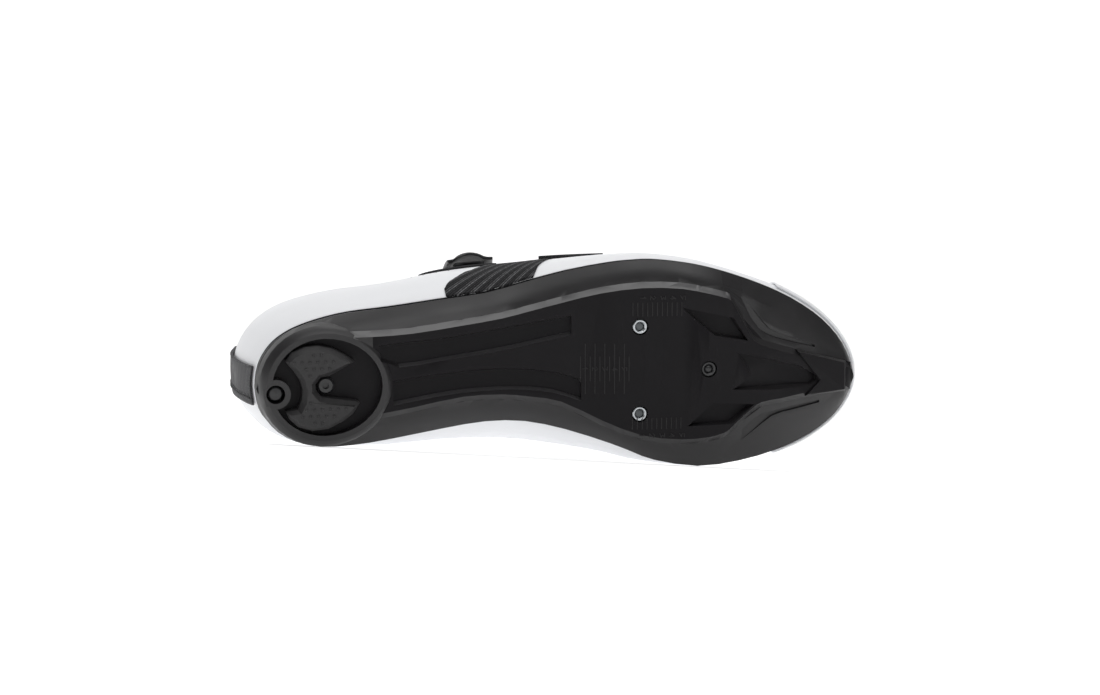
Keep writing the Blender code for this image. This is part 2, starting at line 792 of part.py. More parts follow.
def make_bumper():
    """The raised toe bumper, its rear edge an arrow head."""
    lifted_rings = []
    points = [(sole_x(x), y * SOLE_BALL_WIDTH) for x, y in BUMPER]
    centre_x = sum(x for x, _ in points) / len(points)
    centre_y = sum(y for _, y in points) / len(points)
    for inset, drop in ((0.0, BEVEL_DROP), (0.0, 0.0), (BUMPER_DRAFT, -BUMPER_RAISE)):
        ring = []
        for x, y in points:
            away = math.hypot(centre_x - x, centre_y - y)
            shift = inset / away
            ring.append(
                (
                    x + (centre_x - x) * shift,
                    y + (centre_y - y) * shift,
                    heights(x)[0] + drop,
                )
            )
        lifted_rings.append(ring)
    return loft("bumper_form", lifted_rings)


def make_outsole(look):
    steps = [i / 2 for i in range(2 * TIP + 1)]
    sole = loft("outsole", [sole_section(u) for u in steps], look)
    boolean(sole, make_plate(), "UNION")
    boolean(sole, make_heel_ring(), "UNION")
    boolean(sole, make_bumper(), "UNION")
    boolean(sole, make_heel_recess(), "DIFFERENCE")
    for name, table, depth, draft in (
        ("lateral_groove_cutter", LATERAL_GROOVE, GROOVE_DEPTH, GROOVE_DRAFT),
        ("medial_groove_cutter", MEDIAL_GROOVE, GROOVE_DEPTH, GROOVE_DRAFT),
        ("lateral_wing_cutter", LATERAL_WING, BEVEL_DROP + WING_DEPTH, WING_DRAFT),
        ("medial_wing_cutter", MEDIAL_WING, BEVEL_DROP + WING_DEPTH, WING_DRAFT),
    ):
        boolean(sole, groove_cutter(name, table, depth, draft), "DIFFERENCE")
    for name, corners, depth in (
        ("lateral_vent_cutter", LATERAL_VENT, VENT_DEPTH),
        ("medial_vent_cutter", MEDIAL_VENT, VENT_DEPTH),
        ("toe_recess_cutter", TOE_RECESS, TOE_RECESS_DEPTH),
    ):
        boolean(sole, well_cutter(name, corners, depth), "DIFFERENCE")
    for name, x, y in nut_places():
        low = heights(x)[0]
        hole = cylinder(
            name + "_hole_cutter",
            x,
            y,
            NUT_RADIUS + NUT_CLEARANCE,
            low - CUTTER_REACH,
            low + NUT_SINK + NUT_LENGTH + NUT_CLEARANCE,
        )
        boolean(sole, hole, "DIFFERENCE")
    low = heights(STUD_X)[0]
    socket = cylinder(
        "stud_hole_cutter",
        STUD_X,
        STUD_Y,
        STUD_RADIUS + STUD_CLEARANCE,
        low - CUTTER_REACH,
        low + STUD_LENGTH + SEAT_GAP,
    )
    boolean(sole, socket, "DIFFERENCE")
    boolean(sole, make_sole_cup(), "DIFFERENCE")
    return sole


def make_sole_cup():
    """The hollow of the sole under the insole, deepest in the heel and the arch."""
    sections = []
    steps = 16
    for i in range(steps + 1):
        u = SOLE_CUP_START + (SOLE_CUP_END - SOLE_CUP_START) * i / steps
        x = (rib(u)[0] + rib(AROUND - u)[0]) / 2
        plate, _, top = heights(x)
        fade = max(math.sin(math.pi * i / steps), 0.0) ** 0.35
        floor = top - max((top - plate - BEVEL_DROP - SOLE_FLOOR) * fade, INSOLE_LIFT)
        lateral = rib(u)[:2] - outward(u) * SOLE_CUP_WALL
        medial = rib(AROUND - u)[:2] - outward(AROUND - u) * SOLE_CUP_WALL
        slope = (medial[1] - lateral[1]) * 0.12
        sections.append(
            [
                (lateral[0], lateral[1], top + CUTTER_REACH),
                (lateral[0], lateral[1], top - 0.3 * (top - floor)),
                (lateral[0], lateral[1] + slope, floor),
                (medial[0], medial[1] - slope, floor),
                (medial[0], medial[1], top - 0.3 * (top - floor)),
                (medial[0], medial[1], top + CUTTER_REACH),
            ]
        )
    return loft("sole_cup_cutter", sections)


def nut_places():
    half = CLEAT_ACROSS / 2
    return (
        ("cleat_nut_lateral", CLEAT_X, CLEAT_Y - half),
        ("cleat_nut_medial", CLEAT_X, CLEAT_Y + half),
        ("cleat_nut_front", CLEAT_X + CLEAT_FORE_AFT, CLEAT_Y),
    )


def make_nuts(steel, black):
    for name, x, y in nut_places():
        low = heights(x)[0] + NUT_SINK
        rim = NUT_RIM
        look = black if name.endswith("front") else steel
        profile = [
            (NUT_RADIUS, NUT_LENGTH),
            (NUT_RADIUS, rim),
            (NUT_RADIUS - rim, 0.0),
            (NUT_BORE_RADIUS + rim, 0.0),
            (NUT_BORE_RADIUS, rim),
            (NUT_BORE_RADIUS, NUT_LENGTH),
        ]
        turned(name, profile, (x, y, low), look, closed=True)


def ring_inset(points, distance):
    """The outline moved inwards along its corners' normals."""
    count = len(points)
    area = sum(
        points[i][0] * points[(i + 1) % count][1] - points[(i + 1) % count][0] * points[i][1]
        for i in range(count)
    )
    side = 1.0 if area > 0 else -1.0
    moved = []
    for i in range(count):
        before = Vector(points[i - 1])
        here = Vector(points[i])
        after = Vector(points[(i + 1) % count])
        one = (here - before).normalized()
        two = (after - here).normalized()
        normal = Vector((-(one.y + two.y), one.x + two.x))
        if normal.length < 1e-6:
            normal = Vector((-one.x, -one.y))
        normal.normalize()
        moved.append(tuple(here + normal * side * distance))
    return moved


def make_heel_pad(look):
    top = heights(HEEL_CENTRE_X)[0] + HEEL_RECESS_DEPTH - SEAT_GAP
    outline = [
        (HEEL_CENTRE_X + x * HEEL_RECESS_SIDE, HEEL_CENTRE_Y + y * HEEL_RECESS_SIDE)
        for x, y in HEEL_PAD
    ]
    inner = ring_inset(outline, HEEL_PAD_BEVEL)
    rings = [
        [(x, y, top) for x, y in outline],
        [(x, y, top - HEEL_PAD_SIDE) for x, y in outline],
        [(x, y, 0.0) for x, y in inner],
    ]
    return loft("heel_pad", rings, look)


def make_screw(look):
    top = heights(HEEL_CENTRE_X)[0] + HEEL_RECESS_DEPTH - SEAT_GAP
    profile = [
        (0.0, top),
        (SCREW_RADIUS, top),
        (SCREW_RADIUS, top - SCREW_HEAD * 0.7),
        (SCREW_RADIUS * 0.8, top - SCREW_HEAD),
        (SCREW_SOCKET_RADIUS, top - SCREW_HEAD),
        (SCREW_SOCKET_RADIUS, top - SCREW_HEAD * 0.4),
        (0.0, top - SCREW_HEAD * 0.4),
    ]
    return turned("heel_pad_screw", profile, (SCREW_X, SCREW_Y, 0.0), look)


def make_stud(look):
    low = heights(STUD_X)[0]
    profile = [
        (0.0, low + STUD_LENGTH),
        (STUD_RADIUS, low + STUD_LENGTH),
        (STUD_RADIUS, low + 0.0006),
        (STUD_RADIUS * 0.8, low),
        (0.0, low - 0.0004),
    ]
    return turned("heel_stud", profile, (STUD_X, STUD_Y, 0.0), look)


def make_insole(look):
    """A sock liner just inside the upper's lower opening, following the sole's top."""
    sections = []
    count = 2 * TIP
    for i in range(count + 1):
        u = TIP * i / count
        row = []
        for side in (u, AROUND - u):
            plan = rib(side)[:2] - outward(side) * INSOLE_INSET
            low = heights(plan[0])[2] + INSOLE_LIFT
            row.append(((*plan, low), (*plan, low + INSOLE_THICKNESS)))
        lateral, medial = row
        sections.append([lateral[0], medial[0], medial[1], lateral[1]])
    return loft("insole", sections, look)


def make_upper(look):
    us = [i / 2 for i in range(2 * AROUND)]
    return skin("upper", us, WALL_LEVELS, 0.0, -UPPER_WALL, look)


def make_toe_cap(look):
    """The raised toe cap, on the upper's own grid so that it stays parallel to it."""
    count = 4 * (TIP - TOE_CAP_START)
    us = [TOE_CAP_START + i / 2 for i in range(count + 1)]
    return skin("toe_cap", us, WALL_LEVELS[1:], OVERLAY_LIFT, TOE_CAP_THICKNESS, look)


def heel_reach(v):
    """How many rows each way from the heel's back line the strip reaches at v."""
    reach = 0.0
    while np.linalg.norm(upper_point(reach, v) - upper_point(0.0, v)) < HEEL_STRIP_WIDTH / 2:
        reach += 0.02
    return reach


def make_heel_strip(look):
    """The band up the heel's back, on the upper's own levels so that it stays parallel."""
    rows = []
    low = 2 * OVERLAY_LIFT
    for v in (HEEL_STRIP_START, *WALL_LEVELS[1:-1], HEEL_STRIP_END):
        reach = heel_reach(v)
        row = []
        for u in (-reach, -0.5, 0.0, 0.5, reach):
            row.append(lifted(u % AROUND, v, low, low + HEEL_STRIP_THICKNESS))
        rows.append(row)
    return slab("heel_strip", rows, look)


def make_tongue(look):
    """The padded tongue under the throat, free above it and tucked under the vamp."""
    outer = -(UPPER_WALL + TONGUE_CLEARANCE)
    inner = outer - TONGUE_THICKNESS
    tuck = WALL_LEVELS[-3:]
    vs = [*tuck, 1.25, 1.5, 1.75, *(3 - v for v in reversed(tuck))]
    rows = []
    lean = np.array([-math.cos(TONGUE_LEAN), 0.0, math.sin(TONGUE_LEAN)])
    facing = np.array([math.sin(TONGUE_LEAN), 0.0, math.cos(TONGUE_LEAN)])
    root = lifted(TONGUE_START, 1.5, outer, inner)[0]
    for share in (1.0, 0.93, 0.70, 0.45, 0.22):
        half_width = TONGUE_HALF_WIDTH * (1 - 0.45 * max(share - 0.7, 0) / 0.3) * (1 - 0.08 * share)
        thin = 0.55 if share == 1.0 else 1.0
        row = []
        for i in range(len(vs)):
            t = 2 * i / (len(vs) - 1) - 1
            point = root + lean * TONGUE_RISE * share
            point = point + np.array([0.0, -t * half_width, -TONGUE_CROWN * t * t])
            row.append((point, point - facing * TONGUE_THICKNESS * thin))
        rows.append(row)
    for i in range(int(2 * (TONGUE_END - TONGUE_START)) + 1):
        u = TONGUE_START + i / 2
        rows.append([lifted(u, v, outer, inner) for v in vs])
    return slab("tongue", rows, look)


def make_strap(name, x_low, width, reach, thickness, look):
    """A flat strap over the shoe, between two lines across it."""
    rows = []
    steps = 16
    us = [row_at(x_low + width * i / 4) for i in range(5)]
    for i in range(steps + 1):
        v = reach[0] + (reach[1] - reach[0]) * i / steps
        rows.append([lifted(u, v, STRAP_LIFT, STRAP_LIFT + thickness) for u in us])
    return slab(name, rows, look)


def make_buckle(look):
    """The buckle's arched cover: two flat flanges along the strap and a vault between."""
    v_low, v_high = BUCKLE_REACH
    flange = BUCKLE_FLANGE / BUCKLE_WIDTH
    profile = [(0.0, 0.0), (flange, 0.0)]
    for i in range(1, 8):
        share = i / 8
        profile.append((flange + (1 - 2 * flange) * share, math.sin(math.pi * share) ** 0.7))
    profile += [(1 - flange, 0.0), (1.0, 0.0)]
    rows = []
    for i in range(9):
        v = v_low + (v_high - v_low) * i / 8
        row = []
        for share, rise in profile:
            u = row_at(BUCKLE_X + BUCKLE_WIDTH * share)
            low = BUCKLE_LIFT + BUCKLE_HEIGHT * rise * 0.6
            row.append(lifted(u, v, low, low + BUCKLE_WALL))
        rows.append(row)
    return slab("buckle_cover", rows, look)


def evaluated_points():
    """Every piece's points in the shoe's frame, with its volume and centre."""
    graph = bpy.context.evaluated_depsgraph_get()
    clouds = []
    for item in parts.objects:
        shape = item.evaluated_get(graph)
        mesh = shape.to_mesh()
        mesh.calc_loop_triangles()
        place = np.array(item.matrix_world)
        points = np.array([vert.co[:] for vert in mesh.vertices])
        points = points @ place[:3, :3].T + place[:3, 3]
        faces = np.array([tri.vertices[:] for tri in mesh.loop_triangles])
        shape.to_mesh_clear()
        corners = points[faces]
        volumes = np.einsum("ij,ij->i", corners[:, 0], np.cross(corners[:, 1], corners[:, 2])) / 6
        centre = (corners.sum(axis=1) / 4 * volumes[:, None]).sum(axis=0) / volumes.sum()
        clouds.append((points, volumes.sum(), centre))
    return clouds


def lay_down():
    """Turns the parent so that the shoe lies on its medial side on the face of its hull
    that carries its weight, and sets the origin under the middle of its box."""
    clouds = evaluated_points()
    weight = sum(volume for _, volume, _ in clouds)
    centre = sum(volume * middle for _, volume, middle in clouds) / weight
    points = np.concatenate([cloud for cloud, _, _ in clouds])
    hull = bmesh.new()
    for point in points:
        hull.verts.new(point)
    bmesh.ops.convex_hull(hull, input=hull.verts)
    hull.normal_update()
    found = []
    for face in hull.faces:
        if face.normal.y < math.cos(math.radians(50)):
            continue
        corners = [np.array(vert.co) for vert in face.verts]
        normal = np.array(face.normal)
        foot = centre + normal * np.dot(corners[0] - centre, normal)
        turns = [
            np.dot(np.cross(corners[(i + 1) % len(corners)] - corner, foot - corner), normal)
            for i, corner in enumerate(corners)
        ]
        outside = min(max(turns), -min(turns))
        height = np.dot(corners[0] - centre, normal)
        found.append((max(outside, 0.0), height, tuple(normal)))
    hull.free()
    up = -np.array(min(found)[2])
    toe = np.array([1.0, 0.0, 0.0])
    toe -= up * np.dot(toe, up)
    toe /= np.linalg.norm(toe)
    turn = np.array([toe, np.cross(up, toe), up])
    laid = points @ turn.T
    low, high = laid.min(axis=0), laid.max(axis=0)
    shift = -np.array([(low[0] + high[0]) / 2, (low[1] + high[1]) / 2, low[2]])
    place = Matrix.Identity(4)
    for i in range(3):
        place[i][:3] = turn[i]
        place[i][3] = shift[i]
    stand.matrix_world = place


clear_scene()
parts = new_collection("cycling_shoe")
cutters = new_collection("cutters")
stand = bpy.data.objects.new("shoe_frame", None)
bpy.context.scene.collection.objects.link(stand)

white = material("upper_white", (0.86, 0.86, 0.87), 0.42)
cap_white = material("toe_cap_white", (0.86, 0.86, 0.87), 0.40)
nylon = material("sole_nylon", (0.018, 0.017, 0.020), 0.38)
rubber = material("heel_pad_rubber", (0.035, 0.034, 0.036), 0.62)
black = material("black_plastic", (0.015, 0.015, 0.016), 0.35)
steel = material("nut_steel", (0.62, 0.64, 0.66), 0.28, 1.0)
plug = material("nut_black", (0.03, 0.03, 0.03), 0.35, 0.6)
screw_steel = material("screw_black", (0.03, 0.03, 0.03), 0.40, 0.5)
webbing = material("strap_black", (0.02, 0.02, 0.021), 0.70)
strip = material("heel_strip_grey", (0.05, 0.05, 0.055), 0.75)
lining = material("insole_grey", (0.08, 0.08, 0.085), 0.90)
padding = material("tongue_black", (0.025, 0.025, 0.026), 0.85)

make_outsole(nylon)
make_upper(white)
make_insole(lining)
make_tongue(padding)
make_toe_cap(cap_white)
make_heel_strip(strip)
make_heel_pad(rubber)
make_screw(screw_steel)
make_stud(black)
make_nuts(steel, plug)
make_strap(
    "forefoot_strap", FOREFOOT_STRAP_X, FOREFOOT_STRAP_WIDTH, FOREFOOT_REACH, STRAP_THICKNESS, webbing
)
make_strap("ladder_strap", LADDER_X, LADDER_WIDTH, LADDER_REACH, LADDER_THICKNESS, webbing)
make_buckle(black)
bpy.context.view_layer.update()
lay_down()
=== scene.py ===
"""The looks of a right-foot road cycling shoe that lies on its medial side.

Places are given in the shoe's own standing frame, in metres: x from heel to toe, y towards
the medial side, z up from the ground. to_world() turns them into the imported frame.
"""
import math

import bmesh
import bpy
from mathutils import Matrix, Vector
from mathutils.bvhtree import BVHTree


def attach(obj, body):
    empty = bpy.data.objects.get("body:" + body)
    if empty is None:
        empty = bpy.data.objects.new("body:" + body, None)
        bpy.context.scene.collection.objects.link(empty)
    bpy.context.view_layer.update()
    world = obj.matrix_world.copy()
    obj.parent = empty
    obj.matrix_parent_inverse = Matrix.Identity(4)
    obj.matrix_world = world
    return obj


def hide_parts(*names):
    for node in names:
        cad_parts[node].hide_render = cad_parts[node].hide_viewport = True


# How the shoe lies: the sole's lean past upright, the toe's rise and the origin's place
SOLE_LEAN = math.radians(10.82)
TOE_RISE = math.radians(5.215)
SHOE_ORIGIN = Vector((-0.1428, -0.0479, 0.0235))

# The photograph's view in the shoe's frame, and its framing
VIEW_TURN = math.radians(11.0)
VIEW_TILT = math.radians(10.0)
VIEW_TARGET = Vector((0.1419, -0.0105, 0.0200))
VIEW_DISTANCE = 1.3
VIEW_WIDTH = 0.500
VIEW_LOWEST = 0.006
SENSOR_WIDTH = 36.0
CLIP_START = 0.01

MM = 0.001

# Where the sole's parts lie, to sort its faces
BEVEL_WIDTH = 2.8 * MM
BEVEL_OUTER = 0.1 * MM
BEVEL_FRONT = 0.2212
RING_FRONT = 0.074
RING_MIDDLE = (0.0373, 0.0012)
RING_REACH = 0.0322
RING_SIDE = 0.0285
WELL_DEPTH = 4.5 * MM
GROOVES_FRONT = 0.170
GROOVES_MEDIAL = 0.014
WING_REAR = 0.2212
WING_FRONT = 0.268
WING_ACROSS = 12.0 * MM
# How squarely its faces look down or sideways, as a cosine
FLOOR_LEVEL = 0.93
PLATE_LEVEL = 0.86
INNER_LEVEL = 0.5
FLANK_LEVEL = 0.05
SIDEWARD = 0.25

# The mesh panel's ribs: x gained for each z, then the widths of a rib and of a band
KNIT_SLANT = 1.20
KNIT_RIB = 1.75 * MM
KNIT_BAND = 7.0 * MM

# Joining, rounding and creasing the CAD meshes
WELD = 5e-6
FLAT_ANGLE = math.radians(1.0)
JOIN_ANGLE = math.radians(40)
JOIN_SHAPE = math.radians(70)
CREASE_ANGLE = math.radians(50.0)
CREASE = 0.9
EDGE_WIDTH = 0.3 * MM
EDGE_ANGLE = 28.0
STRAP_EDGE_ANGLE = 40.0
PAD_EDGE = 0.5 * MM

# Rays towards the foot's axis: their start, their reach and the least cosine of a hit
AXIS_HEIGHT = 0.045
RAY_START = 0.12
RAY_REACH = 0.116
LEAST_FACING = 0.05
MOST_SWEEP = 100.0
NEARBY_ANGLES = (0.0, 0.4, -0.4, 1.0, -1.0, 2.0, -2.0, 4.0, -4.0, 8.0)
SIDE_ANGLE = 20.0
UNDER_GROUND = -0.05
BEHIND_HEEL = -0.05
HEEL_RAY_REACH = 0.09

# The upper's rims and the axis that tells its outside from its inside
RIM_FRONT = 0.186
RIM_LOWEST = 0.050
RIM_LEVEL = 0.7
AXIS_ENDS = (0.06, 0.24)
TOE_AXIS_HEIGHT = 0.085
TOE_AXIS_SLOPE = 0.25
WALL_SEARCH = 4.5 * MM
SURFACE_CLEAR = 0.1 * MM

# Blocks, domes, cords and stitches
BLOCK_SINK = -0.1 * MM
BLOCK_TAPER = 0.72
DOME_PROFILE = ((-0.1, 1.0), (0.45, 0.86), (0.85, 0.5))
DOME_SIDE = Vector((0.3, 0.9, 0.2))
CORD_SIDE = Vector((0.31, 0.17, 0.93))
CORD_SIDES = 8
STITCH_PITCH = 2.6 * MM
STITCH_LENGTH = 1.9 * MM
STITCH_WIDTH = 0.38 * MM

# The studio's floor and backdrop, then the brightness of its paper and surround
FLOOR_REACH = 4.0
CURVE_START = 1.2
CURVE_RADIUS = 0.6
CURVE_STEPS = 8
BACKDROP_TOP = 3.0
PAPER_GLOW = 0.42
SURROUND_STRENGTH = 0.20
# The lights: name, place, aim, size and power in watts
LIGHTS = (
    ("front_top", (0.0, -0.95, 1.15), (0.0, -0.40, 0.0), (1.6, 0.7), 8.5),
    ("top", (0.0, 0.05, 1.1), (0.0, 0.0, 0.05), (1.4, 0.5), 3.0),
    ("back", (0.0, 0.6, 1.6), (0.0, 1.6, 0.4), (2.2, 1.0), 9.0),
)


def to_world(point):
    """A point of the shoe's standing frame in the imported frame."""
    return SHOE_AXES @ Vector(point) + SHOE_ORIGIN


def turn_to_world(direction):
    return SHOE_AXES @ Vector(direction)


def shoe_axes():
    rise, lean = TOE_RISE, SOLE_LEAN
    return Matrix(
        (
            (math.cos(rise), math.sin(rise) * math.cos(lean), -math.sin(rise) * math.sin(lean)),
            (0.0, math.sin(lean), math.cos(lean)),
            (math.sin(rise), -math.cos(rise) * math.cos(lean), math.cos(rise) * math.sin(lean)),
        )
    )


SHOE_AXES = shoe_axes()
FORWARD = turn_to_world((1.0, 0.0, 0.0))
MEDIAL = turn_to_world((0.0, 1.0, 0.0))
DOWN = turn_to_world((0.0, 0.0, -1.0))

# The tread plate's edges: x, then the lateral and the medial y, in metres
PLATE_EDGE = (
    (0.049, -0.0233, 0.0197),
    (0.077, -0.0236, 0.0152),
    (0.100, -0.0259, 0.0118),
    (0.118, -0.0285, 0.0114),
    (0.131, -0.0316, 0.0128),
    (0.145, -0.0352, 0.0152),
    (0.163, -0.0396, 0.0237),
    (0.181, -0.0419, 0.0308),
    (0.199, -0.0413, 0.0330),
    (0.211, -0.0387, 0.0324),
    (0.219, -0.0366, 0.0307),
    (0.2236, -0.0321, 0.0272),
    (0.2289, -0.0224, 0.0228),
    (0.2367, -0.0140, 0.0176),
    (0.2697, -0.0034, 0.0142),
)


class Nodes:
    """Short calls for a material's node tree."""

    def __init__(self, name):
        self.material = bpy.data.materials.new(name)
        self.material.use_nodes = True
        self.tree = self.material.node_tree
        self.shader = self.tree.nodes["Principled BSDF"]

    def add(self, kind, **settings):
        node = self.tree.nodes.new(kind)
        for key, value in settings.items():
            setattr(node, key, value)
        return node

    def link(self, source, target):
        self.tree.links.new(source, target)

    def put(self, target, value):
        if hasattr(value, "is_output"):
            self.link(value, target)
        else:
            target.default_value = value

    def math(self, operation, first, second=0.0, clamp=False):
        node = self.add("ShaderNodeMath", operation=operation, use_clamp=clamp)
        self.put(node.inputs[0], first)
        self.put(node.inputs[1], second)
        return node.outputs[0]

    def mix(self, factor, first, second):
        node = self.add("ShaderNodeMix", data_type="RGBA")
        self.put(node.inputs[0], factor)
        self.put(node.inputs[6], first)
        self.put(node.inputs[7], second)
        return node.outputs[2]

    def place(self):
        """Object coordinates turned into the shoe's standing frame."""
        coordinates = self.add("ShaderNodeTexCoord").outputs["Object"]
        away = self.add("ShaderNodeVectorMath", operation="SUBTRACT")
        self.link(coordinates, away.inputs[0])
        away.inputs[1].default_value = SHOE_ORIGIN
        parts = []
        for column in SHOE_AXES.col:
            dot = self.add("ShaderNodeVectorMath", operation="DOT_PRODUCT")
            self.link(away.outputs[0], dot.inputs[0])
            dot.inputs[1].default_value = column
            parts.append(dot.outputs["Value"])
        joined = self.add("ShaderNodeCombineXYZ")
        for value, socket in zip(parts, joined.inputs):
            self.link(value, socket)
        return joined.outputs[0], parts

    def noise(self, place, scale, detail=3.0, roughness=0.55):
        node = self.add("ShaderNodeTexNoise")
        self.link(place, node.inputs["Vector"])
        node.inputs["Scale"].default_value = scale
        node.inputs["Detail"].default_value = detail
        node.inputs["Roughness"].default_value = roughness
        return node.outputs["Fac"]

    def voronoi(self, place, scale):
        node = self.add("ShaderNodeTexVoronoi", feature="F1")
        self.link(place, node.inputs["Vector"])
        node.inputs["Scale"].default_value = scale
        return node.outputs["Distance"]

    def ramp(self, value, low, high, start, end):
        node = self.add("ShaderNodeMapRange")
        self.link(value, node.inputs["Value"])
        node.inputs["From Min"].default_value = low
        node.inputs["From Max"].default_value = high
        node.inputs["To Min"].default_value = start
        node.inputs["To Max"].default_value = end
        return node.outputs["Result"]

    def bump(self, height, distance, strength=1.0, before=None):
        node = self.add("ShaderNodeBump")
        self.link(height, node.inputs["Height"])
        node.inputs["Distance"].default_value = distance
        node.inputs["Strength"].default_value = strength
        if before:
            self.link(before, node.inputs["Normal"])
        return node.outputs["Normal"]

    def finish(self, colour=None, roughness=None, normal=None, **sockets):
        if colour is not None:
            self.put(self.shader.inputs["Base Color"], colour)
        if roughness is not None:
            self.put(self.shader.inputs["Roughness"], roughness)
        if normal is not None:
            self.link(normal, self.shader.inputs["Normal"])
        for name, value in sockets.items():
            self.shader.inputs[name.replace("_", " ")].default_value = value
        return self.material


def shade(red, green, blue):
    return (red, green, blue, 1.0)


def nylon_look(name, dark, light, roughness, level, grain=0.3):
    """Injection-moulded black nylon: a fine leathery grain and a soft sheen."""
    nodes = Nodes(name)
    place, _ = nodes.place()
    pores = nodes.voronoi(place, 2600.0)
    cloud = nodes.noise(place, 60.0)
    normal = nodes.bump(pores, 0.00006, grain)
    colour = nodes.mix(cloud, dark, light)
    rough = nodes.ramp(cloud, 0.3, 0.7, roughness, roughness + 0.08)
    return nodes.finish(colour, rough, normal, Specular_IOR_Level=level)


def synthetic_look(name):
    """White coated synthetic leather: faint pores, very slight unevenness."""
    nodes = Nodes(name)
    place, _ = nodes.place()
    pores = nodes.voronoi(place, 1500.0)
    cloud = nodes.noise(place, 35.0)
    wave = nodes.noise(place, 90.0, 2.0)
    normal = nodes.bump(pores, 0.00004, 0.35)
    normal = nodes.bump(wave, 0.0003, 0.12, normal)
    colour = nodes.mix(cloud, shade(0.84, 0.85, 0.875), shade(0.90, 0.905, 0.92))
    roughness = nodes.ramp(cloud, 0.3, 0.7, 0.38, 0.50)
    return nodes.finish(colour, roughness, normal)


def woven_look(name, dark, light, scale):
    """A fine plain weave: the crossings of two sets of threads stand up. Its colour follows
    their height: the gaps between the threads darker, as painted shade.
    """
    nodes = Nodes(name)
    place, _ = nodes.place()
    threads = []
    for direction in ("X", "Z"):
        wave = nodes.add("ShaderNodeTexWave", wave_type="BANDS", bands_direction=direction)
        nodes.link(place, wave.inputs["Vector"])
        wave.inputs["Scale"].default_value = scale
        wave.inputs["Distortion"].default_value = 3.0
        wave.inputs["Detail Scale"].default_value = 4.0
        threads.append(wave.outputs["Fac"])
    height = nodes.math("MULTIPLY", *threads)
    fuzz = nodes.noise(place, 4000.0, 2.0)
    normal = nodes.bump(height, 0.00025, 0.8)
    normal = nodes.bump(fuzz, 0.00010, 0.4, normal)
    # Darker where the weave lies low: painted shade between the threads
    colour = nodes.mix(height, dark, light)
    return nodes.finish(colour, 0.88, normal, Sheen_Weight=0.25, Sheen_Roughness=0.5)


def knit_look():
    """Engineered mesh: fine slanting ribs, brighter and darker in wide bands, and eyelets. Its
    colour follows the ribs' height: painted highlight on their crests, painted shade in the
    hollows and eyelets.
    """
    nodes = Nodes("vamp_knit")
    place, (x, _, z) = nodes.place()
    slant = nodes.math("SUBTRACT", x, nodes.math("MULTIPLY", z, KNIT_SLANT))
    rib = nodes.math("SINE", nodes.math("MULTIPLY", slant, 2 * math.pi / KNIT_RIB))
    rib = nodes.ramp(rib, -1.0, 1.0, 0.0, 1.0)
    wide = nodes.math("SINE", nodes.math("MULTIPLY", slant, 2 * math.pi / KNIT_BAND))
    eyelets = nodes.voronoi(place, 1500.0)
    height = nodes.math("MULTIPLY", rib, eyelets)
    normal = nodes.bump(height, 0.00035, 0.9)
    # Lighter where the ribs stand up, darker in hollows and eyelets: painted highlight and shade
    light = nodes.math("MULTIPLY", nodes.ramp(wide, -0.2, 1.0, 0.15, 1.0), height, clamp=True)
    colour = nodes.mix(light, shade(0.006, 0.006, 0.007), shade(0.26, 0.26, 0.268))
    return nodes.finish(colour, 0.85, normal, Specular_IOR_Level=0.2)


def rubber_look():
    """Matt black rubber with a soft grain."""
    nodes = Nodes("pad_rubber")
    place, _ = nodes.place()
    cloud = nodes.noise(place, 300.0)
    grain = nodes.noise(place, 5000.0, 2.0)
    normal = nodes.bump(grain, 0.00008, 0.5)
    colour = nodes.mix(cloud, shade(0.012, 0.0115, 0.012), shade(0.022, 0.021, 0.022))
    return nodes.finish(colour, 0.58, normal)


def plastic_look(name, colour, roughness):
    """Smooth moulded plastic, or a painted metal, with a faint grain."""
    nodes = Nodes(name)
    place, _ = nodes.place()
    grain = nodes.noise(place, 3500.0, 2.0)
    cloud = nodes.noise(place, 150.0)
    normal = nodes.bump(grain, 0.00003, 0.4)
    lighter = shade(*(min(1.0, part * 1.5) for part in colour[:3]))
    return nodes.finish(nodes.mix(cloud, colour, lighter), roughness, normal)


def steel_look():
    """Zinc-plated steel, lightly brushed."""
    nodes = Nodes("zinc_steel")
    place, _ = nodes.place()
    cloud = nodes.noise(place, 900.0)
    normal = nodes.bump(cloud, 0.00003, 0.4)
    colour = nodes.mix(cloud, shade(0.36, 0.38, 0.40), shade(0.58, 0.60, 0.61))
    return nodes.finish(colour, nodes.ramp(cloud, 0.3, 0.7, 0.20, 0.34), normal, Metallic=1.0)


def dress(node, material):
    """Gives a CAD node its look."""
    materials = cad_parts[node].data.materials
    materials.clear()
    materials.append(material)


def link(name, mesh, material):
    """Puts a mesh in the scene as a piece that rides on the shoe."""
    made = bpy.data.objects.new(name, mesh)
    bpy.context.scene.collection.objects.link(made)
    if material:
        mesh.materials.append(material)
    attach(made, "root")
    return made


def smooth_copy(node, material, levels=2):
    """Takes a node's place with the same form, its facets rounded and its corners kept."""
    grid = bmesh.new()
    grid.from_mesh(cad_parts[node].data)
    bmesh.ops.remove_doubles(grid, verts=grid.verts, dist=WELD)
    bmesh.ops.join_triangles(
        grid, faces=grid.faces, angle_face_threshold=JOIN_ANGLE, angle_shape_threshold=JOIN_SHAPE
    )
    layer = grid.edges.layers.float.new("crease_edge")
    for edge in grid.edges:
        if len(edge.link_faces) == 2 and edge.calc_face_angle() > CREASE_ANGLE:
            edge[layer] = CREASE
    made = link(node + "_skin", mesh_from(node + "_skin", grid, smooth=True), material)
    rounding = made.modifiers.new("Rounding", "SUBSURF")
    rounding.levels = levels
    rounding.render_levels = levels
    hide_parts(node)
    return made


def to_shoe(point):
    """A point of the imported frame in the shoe's standing frame."""
    return SHOE_AXES.transposed() @ (point - SHOE_ORIGIN)


